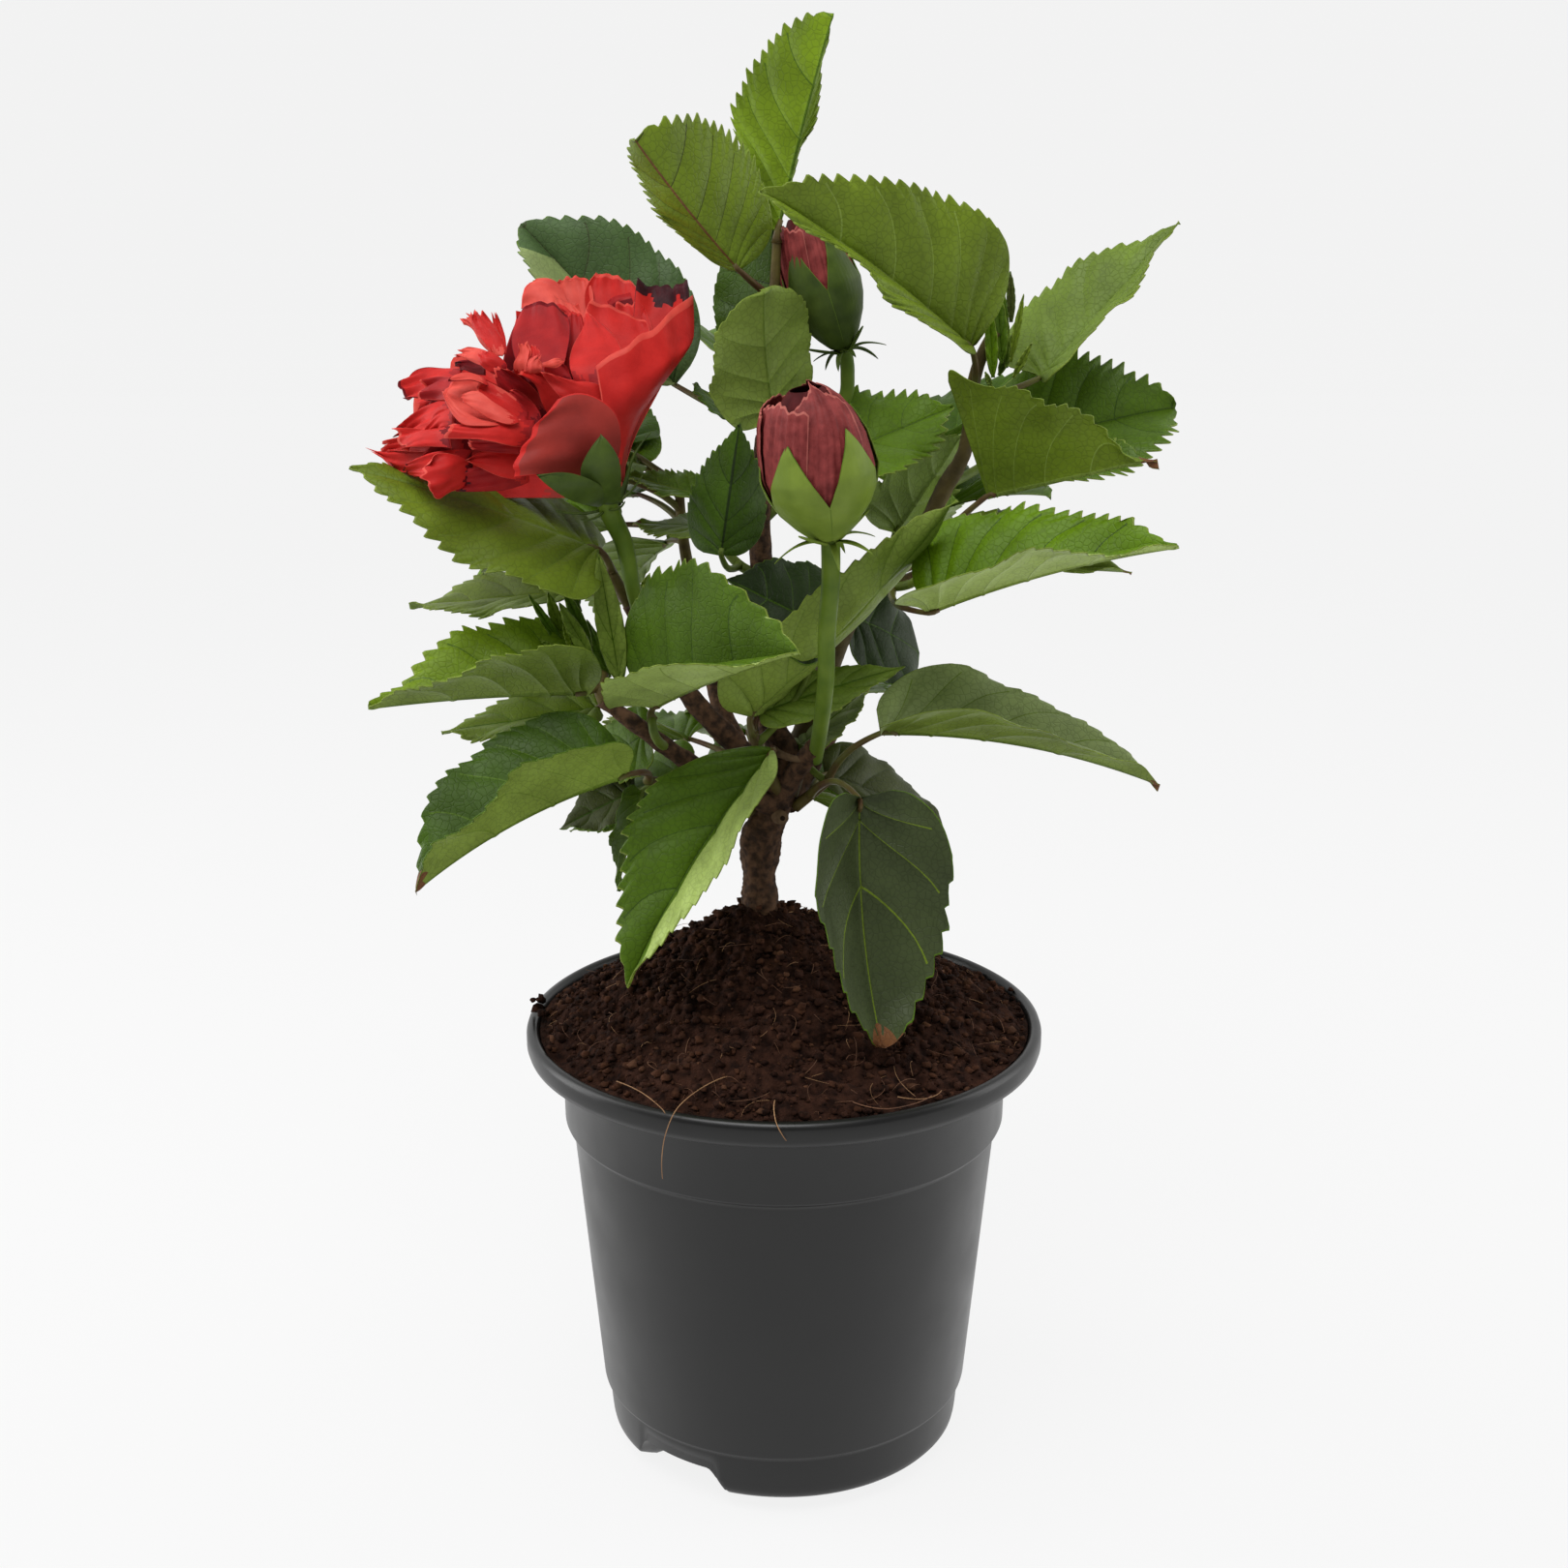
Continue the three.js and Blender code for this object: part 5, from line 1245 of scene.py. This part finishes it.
def closed_bud(stalk, stalk_r, axis, radius, height, calyx, calyx_tops, notch, bract_length):
    base = np.array(stalk[-1], float)
    made = [tube([*stalk, (base + axis * height * 0.06).tolist()], stalk_r, stalk_r * 1.2, 14, 1.0, STALK)]
    for i in range(5):
        centre = 72 * i + 20
        made.append(shell(base, axis, radius * 0.95, height, centre, 52, PETAL_TOPS[i], 0.94 + 0.015 * i, 34,
                          MAROON, 0.86, 0.3, rim=MAROON_EDGE, seed=i, spring=PETAL_SPRING[i]))
        made.append(shell(base, axis, radius * 0.8, height, centre + 30, 40, INNER_TOPS[i], 0.86, 60,
                          MAROON, 0.7, 0.3, seed=i + 9))
        made.append(shell(base, axis, radius, height, 71 + 72 * i, 37, calyx_tops[i], 1.02, 0,
                          calyx, notch, 0.02, rim=STALK))
    # A dark core all round: painted shade where the gaps between the petals look into the bud.
    made.append(shell(base, axis, radius * 0.86, height, 0, 180, 0.96, 0.97, 0, MAROON_SHADE, 0.96, 0.0,
                      seed=4))
    for i in range(BRACTS):
        angle = math.radians(40 * i + 12)
        lean = 78 + 24 * math.sin(5 * i)
        length = bract_length * (0.68 + 0.2 * math.sin(3 * i))
        curve = -0.4 + 0.5 * math.sin(2 * i)
        made.append(bract(base - axis * 0.8, axis, angle, lean, length, 1.25, curve, calyx))
    return made


# %% The front bud and the upper bud
FRONT_STALK = [[8.6, -9, 212], [11, -27, 236.6], [11.2, -34, 253], [12, -37, 266.6], [11.9, -39, 278.4]]
UPPER_STALK = [[-6, 7, 290], [6, 14, 298], [16.4, 17, 308], [17.6, 17, 316], [16.6, 16, 322.4]]
buds = closed_bud(FRONT_STALK, 2.1, unit(np.array([-0.17, -0.12, 1])), 14.8, 41, PALE_GREEN,
                  (0.7, 0.73, 0.8, 0.7, 0.7), 0.27, 16)
buds += closed_bud(UPPER_STALK, 1.7, unit(np.array([-0.36, 0, 1])), 10.3, 39, GREEN,
                   (0.8, 0.82, 0.8, 0.78, 0.8), 0.42, 12)
BUD = {"patch": 3, "rough": 0.5, "relief": 0.05, "grain": 0.5, "shine": 0.2}
bud_finishes = [
    painted("sepal_green", (50, 66, 22), (72, 90, 30), BUD, patch=6, relief=0.06, grain=0.9),
    painted("calyx_green", (98, 118, 38), (118, 138, 50), BUD, patch=7, grain=0.9),
    painted("bud_maroon", (98, 30, 30), (142, 60, 58), BUD, rough=0.6, relief=0.12),
    painted("stalk_green", (74, 98, 24), (98, 120, 36), BUD, patch=8, grain=0.8),
    painted("maroon_edge", (150, 74, 70), (170, 94, 84), BUD, rough=0.6),
    # Painted shade, for the core of a bud.
    painted("maroon_shade", (58, 16, 18), (82, 26, 28), BUD, rough=0.7, shine=0.1),
]
piece("buds", buds, bud_finishes, ["bud_front", "bud_upper"])

# %% Foot of the open flower
SEPALS = [  # one edge, other edge and belly, as for the petals
    ([(-2, 0.5, 7), (-6, 6, 11), (-6.5, 10.5, 13), (-1.5, 18, 14)],
     [(3.5, 0.5, 7), (4, 7.5, 11), (3, 13, 13), (-1.5, 18.5, 14)], 0.25),
    ([(-2, -0.5, 6), (-9, 1, 12), (-14, 4, 15), (-18.5, 8, 16)],
     [(1, 3, 8), (-4, 6.5, 13), (-11, 8.5, 15), (-18.5, 8, 16)], 0.25),
    ([(0.5, 0.5, -3), (0, 7, -6), (1, 13, -9), (3, 18, -10)],
     [(4.5, 0.5, -2), (5, 7, -5), (5, 13, -7), (3.5, 18, -10)], -0.2),
    ([(1, 0, -4), (-3, 7, -11), (-4, 12, -14), (-1, 18, -16)],
     [(4, 0, -3), (6, 7, -10), (5, 12, -14), (0, 18, -16)], -0.2),
    ([(-3, 0, -2), (-11, 6, -8), (-13, 10, -12), (-13, 16, -14)],
     [(1, 0, -4), (-2, 8, -11), (-5, 13, -14), (-12, 17, -14)], -0.2),
]
SEPAL_TONES = (GREEN,) * 4
FLOWER_STALK = [[-39, -9, 251], [-41, -12.6, 262], [-43, -12, 272.9], [-46, -15, 281],
                (BLOOM_BASE + 2 * UP).tolist()]
THIN_POINT = [[-43.4, -19, 286], [-41.5, -20.5, 291.3], [-39.3, -20, 297.6], [-34.9, -18, 303.3]]
ROUND_TURN = 6.283  # radians in a turn, for places all the way round
FOOT_BRACTS = 6

foot = [tube(FLOWER_STALK, 1.9, 2.9, 14, 1.0, STALK)]
foot += [sheet(left, right, belly, 0, 0.3, 0, SEPAL_TONES, random, rows=16, cols=13)
         for left, right, belly in SEPALS]
foot.append(tube(THIN_POINT, 0.75, 0.15, 6, 1.0, GREEN))
flower_axis = unit(np.array([-0.3, -0.3, 0.8]))
for i in range(FOOT_BRACTS):
    angle = 0.9 + ROUND_TURN * i / FOOT_BRACTS
    foot.append(bract(BLOOM_BASE - UP, flower_axis, angle, 84, 11, 0.7, 0.35, GREEN))
piece("flower_foot", foot, bud_finishes, ["bloom"])

# %% [markdown]
# ## Potting mix
# Coir and peat are a heap of crumbs from dust to pea size, with fibres that stick out. Crumbs
# alone, without a heap, would take millions of faces. So the heap is a fine mesh lifted by
# lumps of several sizes, some thousand crumbs lie half sunk in it, and fibres are thin bent
# tubes.

# %% The heap
RIM_Z = 130.4  # height of the mix at the wall of the pot
RINGS, SPOKES = 130, 350
HEAP_R = 71.2
DARK_MIX, BROWN_MIX, CHIPS = range(3)


def heap_height(x, y):
    """Height of the smooth heap."""
    r = np.hypot(x, y)
    moved = np.hypot(x - HEAP_X * np.clip(1 - r / 71, 0, 1), y)
    fall = np.clip((moved - 6) / 63, 0, 1) ** 1.03
    return RIM_Z + (SOIL_TOP - RIM_Z) * (1 - fall)


def crumbly(x, y):
    """Height of lumps of four sizes over the smooth heap."""
    p = np.stack([x, y, 0 * x], axis=-1)
    return 1.3 * lumps(p, 9, 21) + 1.0 * lumps(p, 4, 22) + 0.9 * lumps(p, 1.9, 23) + 0.55 * lumps(p, 1.0, 24)


def heap():
    """Rings of points over the heap, closed in the middle, with a skirt down inside the pot."""
    radius = np.linspace(0.5, HEAP_R, RINGS)[:, None]
    turn = np.linspace(0, 2 * np.pi, SPOKES + 1)[None, :-1]
    x, y = radius * np.cos(turn), radius * np.sin(turn)
    z = heap_height(x, y) + crumbly(x, y) * np.clip((71.5 - radius) / 4, 0.25, 1)
    top = np.stack([x, y, z], axis=-1).reshape(-1, 3)
    skirt = top[-SPOKES:] * np.array([0.86, 0.86, 1]) - np.array([0, 0, 8])
    r, c = np.meshgrid(np.arange(RINGS - 1), np.arange(SPOKES), indexing="ij")
    a, b = r * SPOKES + c, r * SPOKES + (c + 1) % SPOKES
    faces = np.stack([a, a + SPOKES, b + SPOKES, b], axis=-1).reshape(-1, 4).tolist()
    faces.append(list(range(SPOKES)))
    count = len(top)
    edge = count - SPOKES
    faces += [(edge + k, count + k, count + (k + 1) % SPOKES, edge + (k + 1) % SPOKES) for k in range(SPOKES)]
    faces.append([count + k for k in range(SPOKES)][::-1])
    return np.concatenate([top, skirt]), faces, DARK_MIX


# %% Crumbs
def crumb(at, size, random):
    """Small uneven ball: three rings of six points between two poles."""
    rows, cols = 4, 6
    ring = []
    for i in range(1, rows):
        for k in range(cols):
            a, b = math.pi * i / rows, 2 * math.pi * k / cols
            d = np.array([math.sin(a) * math.cos(b), math.sin(a) * math.sin(b), 0.75 * math.cos(a)])
            ring.append(at + d * size * (0.5 + 0.8 * next(random)))
    ring += [at + np.array([0, 0, 0.7 * size]), at - np.array([0, 0, 0.7 * size])]
    n = (rows - 1) * cols
    faces = [[i * cols + k, (i + 1) * cols + k, (i + 1) * cols + (k + 1) % cols, i * cols + (k + 1) % cols]
             for i in range(rows - 2) for k in range(cols)]
    faces += [[n, k, (k + 1) % cols] for k in range(cols)]
    faces += [[n + 1, n - cols + (k + 1) % cols, n - cols + k] for k in range(cols)]
    return np.array(ring), faces


def spot_on_heap(reach, random):
    """A place on the heap seen from above, and how far out it is."""
    r = reach * math.sqrt(next(random))
    angle = ROUND_TURN * next(random)
    return r, r * math.cos(angle), r * math.sin(angle)


def sunk_crumb(random):
    r, x, y = spot_on_heap(70.2, random)
    size = 0.35 + 1.6 * next(random) ** 3
    z = float(heap_height(x, y) + crumbly(np.array([x]), np.array([y]))[0])
    z = z if r < 67 else min(z, 131.5)
    points, faces = crumb(np.array([x, y, z + 0.25 * size]), size, random)
    if next(random) < 0.62:
        return points, faces, DARK_MIX
    return points, faces, BROWN_MIX if next(random) < 0.86 else CHIPS


random = seeded(515)
crumbs = [sunk_crumb(random) for _ in range(5000)]
RIM_CRUMBS = (  # bits that lie on the rim of the pot, and their sizes
    ((-72.4, 0, 134.2), 2.2), ((-71.4, 2, 136.2), 1.7), ((-73, -1.4, 137.2), 1.1), ((-70.6, -4, 134), 1.6),
    ((68.6, 20, 132), 1.0), ((69.6, 8, 132.2), 0.8), ((66, -24, 132.2), 1.0), ((-66, -26, 132.6), 1.2),
)
crumbs += [(*crumb(np.array(at), size, random), DARK_MIX) for at, size in RIM_CRUMBS]
print(len(crumbs), "crumbs")

# %% Fibres
BROWN_FIBRE, STRAW = range(2)
FIBRE_REACH = 69


def short_fibre(random):
    """Thin bent tube that lies on the heap and bows up a little."""
    _, x, y = spot_on_heap(FIBRE_REACH, random)
    way = ROUND_TURN * next(random)
    length = 3 + 9 * next(random) ** 2
    ahead = np.array([math.cos(way), math.sin(way), 0])
    bend = np.array([-ahead[1], ahead[0], 0]) * length * (next(random) - 0.5)
    start = np.array([x, y, float(heap_height(x, y)) + 0.5])
    end = start + ahead * length
    if np.hypot(end[0], end[1]) > 70:
        end[:2] *= FIBRE_REACH / np.hypot(end[0], end[1])
    end[2] = heap_height(end[0], end[1]) + 1.2
    middle = (start + end) / 2 + bend + np.array([0, 0, 0.3 + 1.1 * next(random)])
    radius = 0.05 + 0.07 * next(random)
    return tube([start, middle, end], radius, 0.04, 5, 0.9, BROWN_FIBRE if next(random) < 0.6 else STRAW)


fibres = [short_fibre(random) for _ in range(240)]
LONG_FIBRES = (  # path, radius at its start and tone
    ([[-14, -54, 136.6], [-21, -61, 136.6], [-27.5, -69, 134.4], [-30.4, -74, 130], [-31.6, -75.6, 124],
      [-31.6, -75.6, 117]], 0.17, STRAW),
    ([[-2.4, -66, 134.8], [-2.6, -71, 134.2], [-1.8, -75, 132], [0.6, -76, 128]], 0.17, STRAW),
    ([[18, -66, 134.4], [26, -69, 133.8], [34, -66.4, 134], [39, -62, 134.4]], 0.15, BROWN_FIBRE),
    ([[-45, -52, 134], [-38, -60, 134.5], [-33, -66, 133.4], [-31, -70, 133]], 0.15, STRAW),
    ([[30, -62, 134], [36, -62.5, 133.6], [40, -60, 133.4], [42, -57, 133.6]], 0.15, STRAW),
)
fibres += [tube(path, radius, 0.1, 6, 0.8, tone) for path, radius, tone in LONG_FIBRES]
print(len(fibres), "fibres")

# %% Finishes of the potting mix
MIX = {"patch": 3, "rough": 0.95, "grain": 0.6, "shine": 0.08}
soil_finishes = [
    painted("mix_dark", (26, 14, 10), (58, 36, 27), MIX, relief=0.6, grain=0.7, contrast=1.4),
    painted("mix_brown", (44, 27, 19), (76, 48, 34), MIX, relief=0.4),
    painted("mix_chips", (60, 39, 28), (94, 63, 45), MIX, rough=0.9, relief=0.3, shine=0.1),
]
piece("potting_mix", [heap()], soil_finishes, ["soil"])
piece("crumbs", crumbs, soil_finishes, [])
FIBRE = {"patch": 5, "rough": 0.8, "relief": 0.03, "grain": 0.5}
fibre_finishes = [
    painted("fibre_brown", (84, 54, 36), (116, 78, 52), FIBRE),
    painted("fibre_straw", (128, 92, 60), (158, 120, 82), FIBRE),
]
piece("fibres", fibres, fibre_finishes, [])

# %% [markdown]
# ## Pot
# The pot is satin black plastic, with a rolled rim, a plain band under it, a fine raised line
# near the foot and drain notches under it. A real one is thin and perfectly round, so it is
# turned from the CAD profile with many more sides, which keeps its rim smooth up close. Notches
# could be cut out, but lifting the foot from the floor where one lies keeps the faces clean.

# %% Profile and notches
POT_PROFILE = [
    (0, 0), (20, 0), (27, 0), (33, 0), (39, 0), (43.8, 0), (44.6, 0.25), (45.2, 0.8), (47, 1.9),
    (48.4, 2.8), (51.2, 4.6), (52.2, 5.8), (52.5, 7.2), (52.7, 9), (53.5, 17.6), (53.6, 18.6),
    (54.3, 18.9), (54.8, 19.3), (54.95, 19.9), (62.2, 100.9), (62.4, 101.7), (63.2, 102.6),
    (64.2, 103.1), (64.5, 103.8), (64.8, 123.2), (65.6, 124.3), (73.2, 124.6), (74.5, 125.4),
    (75, 127), (75, 130.1), (74.6, 131.3), (73.6, 131.95), (72.6, 131.9), (71.8, 131.2),
    (71.2, 129.8), (70.7, 128), (63.7, 126), (62.8, 124.4), (60.8, 101.3), (50.6, 8), (47, 5),
    (40, 5), (30, 5), (20, 5), (0, 5),
]
SIDES = 360
NOTCHES = ((-127, 12, 23), (-52, 4, 19), (18, 7, 19), (90, 7, 19), (162, 7, 19))  # heading, height, half
NOTCH_SLOPE = 11  # degrees that each side of a notch takes to rise
FOOT_R, FOOT_TOP = 44, 14  # mm: the foot is raised from this radius on, and only below this height
NOTCH_DEEP, WALL = 25, 1.6  # how far in the floor is raised over a notch, and how thick it stays there, mm


# %% Turn the pot
def turned_pot():
    line = np.array(POT_PROFILE[1:-1])
    n = len(line)
    degrees = 360 * np.arange(SIDES) / SIDES
    angle = np.radians(degrees)
    reach = line[:, :1]
    rings = [reach * np.cos(angle), reach * np.sin(angle), np.repeat(line[:, 1:], SIDES, axis=1)]
    rings = np.stack(rings, axis=-1)
    high = np.zeros(SIDES)
    for heading, most, half in NOTCHES:
        slope = np.clip((half - np.abs((degrees - heading + 180) % 360 - 180)) / NOTCH_SLOPE, 0, 1)
        high = np.maximum(high, most * slope * slope * (3 - 2 * slope))
    for r, (out, z) in enumerate(line):
        if z < FOOT_TOP:
            raised = high * np.clip((out - FOOT_R + NOTCH_DEEP) / NOTCH_DEEP, 0, 1)
            rings[r, :, 2] = np.maximum(z, raised + (WALL if r > n / 2 else 0))
    points = np.concatenate([rings.reshape(-1, 3), [[0, 0, 0], [0, 0, 5]]])
    after = [(k + 1) % SIDES for k in range(SIDES)]
    faces = [[r * SIDES + k, r * SIDES + after[k], (r + 1) * SIDES + after[k], (r + 1) * SIDES + k]
             for r in range(n - 1) for k in range(SIDES)]
    faces += [[n * SIDES, after[k], k] for k in range(SIDES)]
    faces += [[n * SIDES + 1, (n - 1) * SIDES + k, (n - 1) * SIDES + after[k]] for k in range(SIDES)]
    return points, faces, 0


PLASTIC = {"patch": 30, "shine": 0.43, "rough": 0.36, "swing": 0.04, "relief": 0.01, "grain": 0.5}
plastic = painted("pot_plastic", (11, 11, 11), (15, 15, 14), PLASTIC)
piece("pot_shell", [turned_pot()], [plastic], ["pot"])
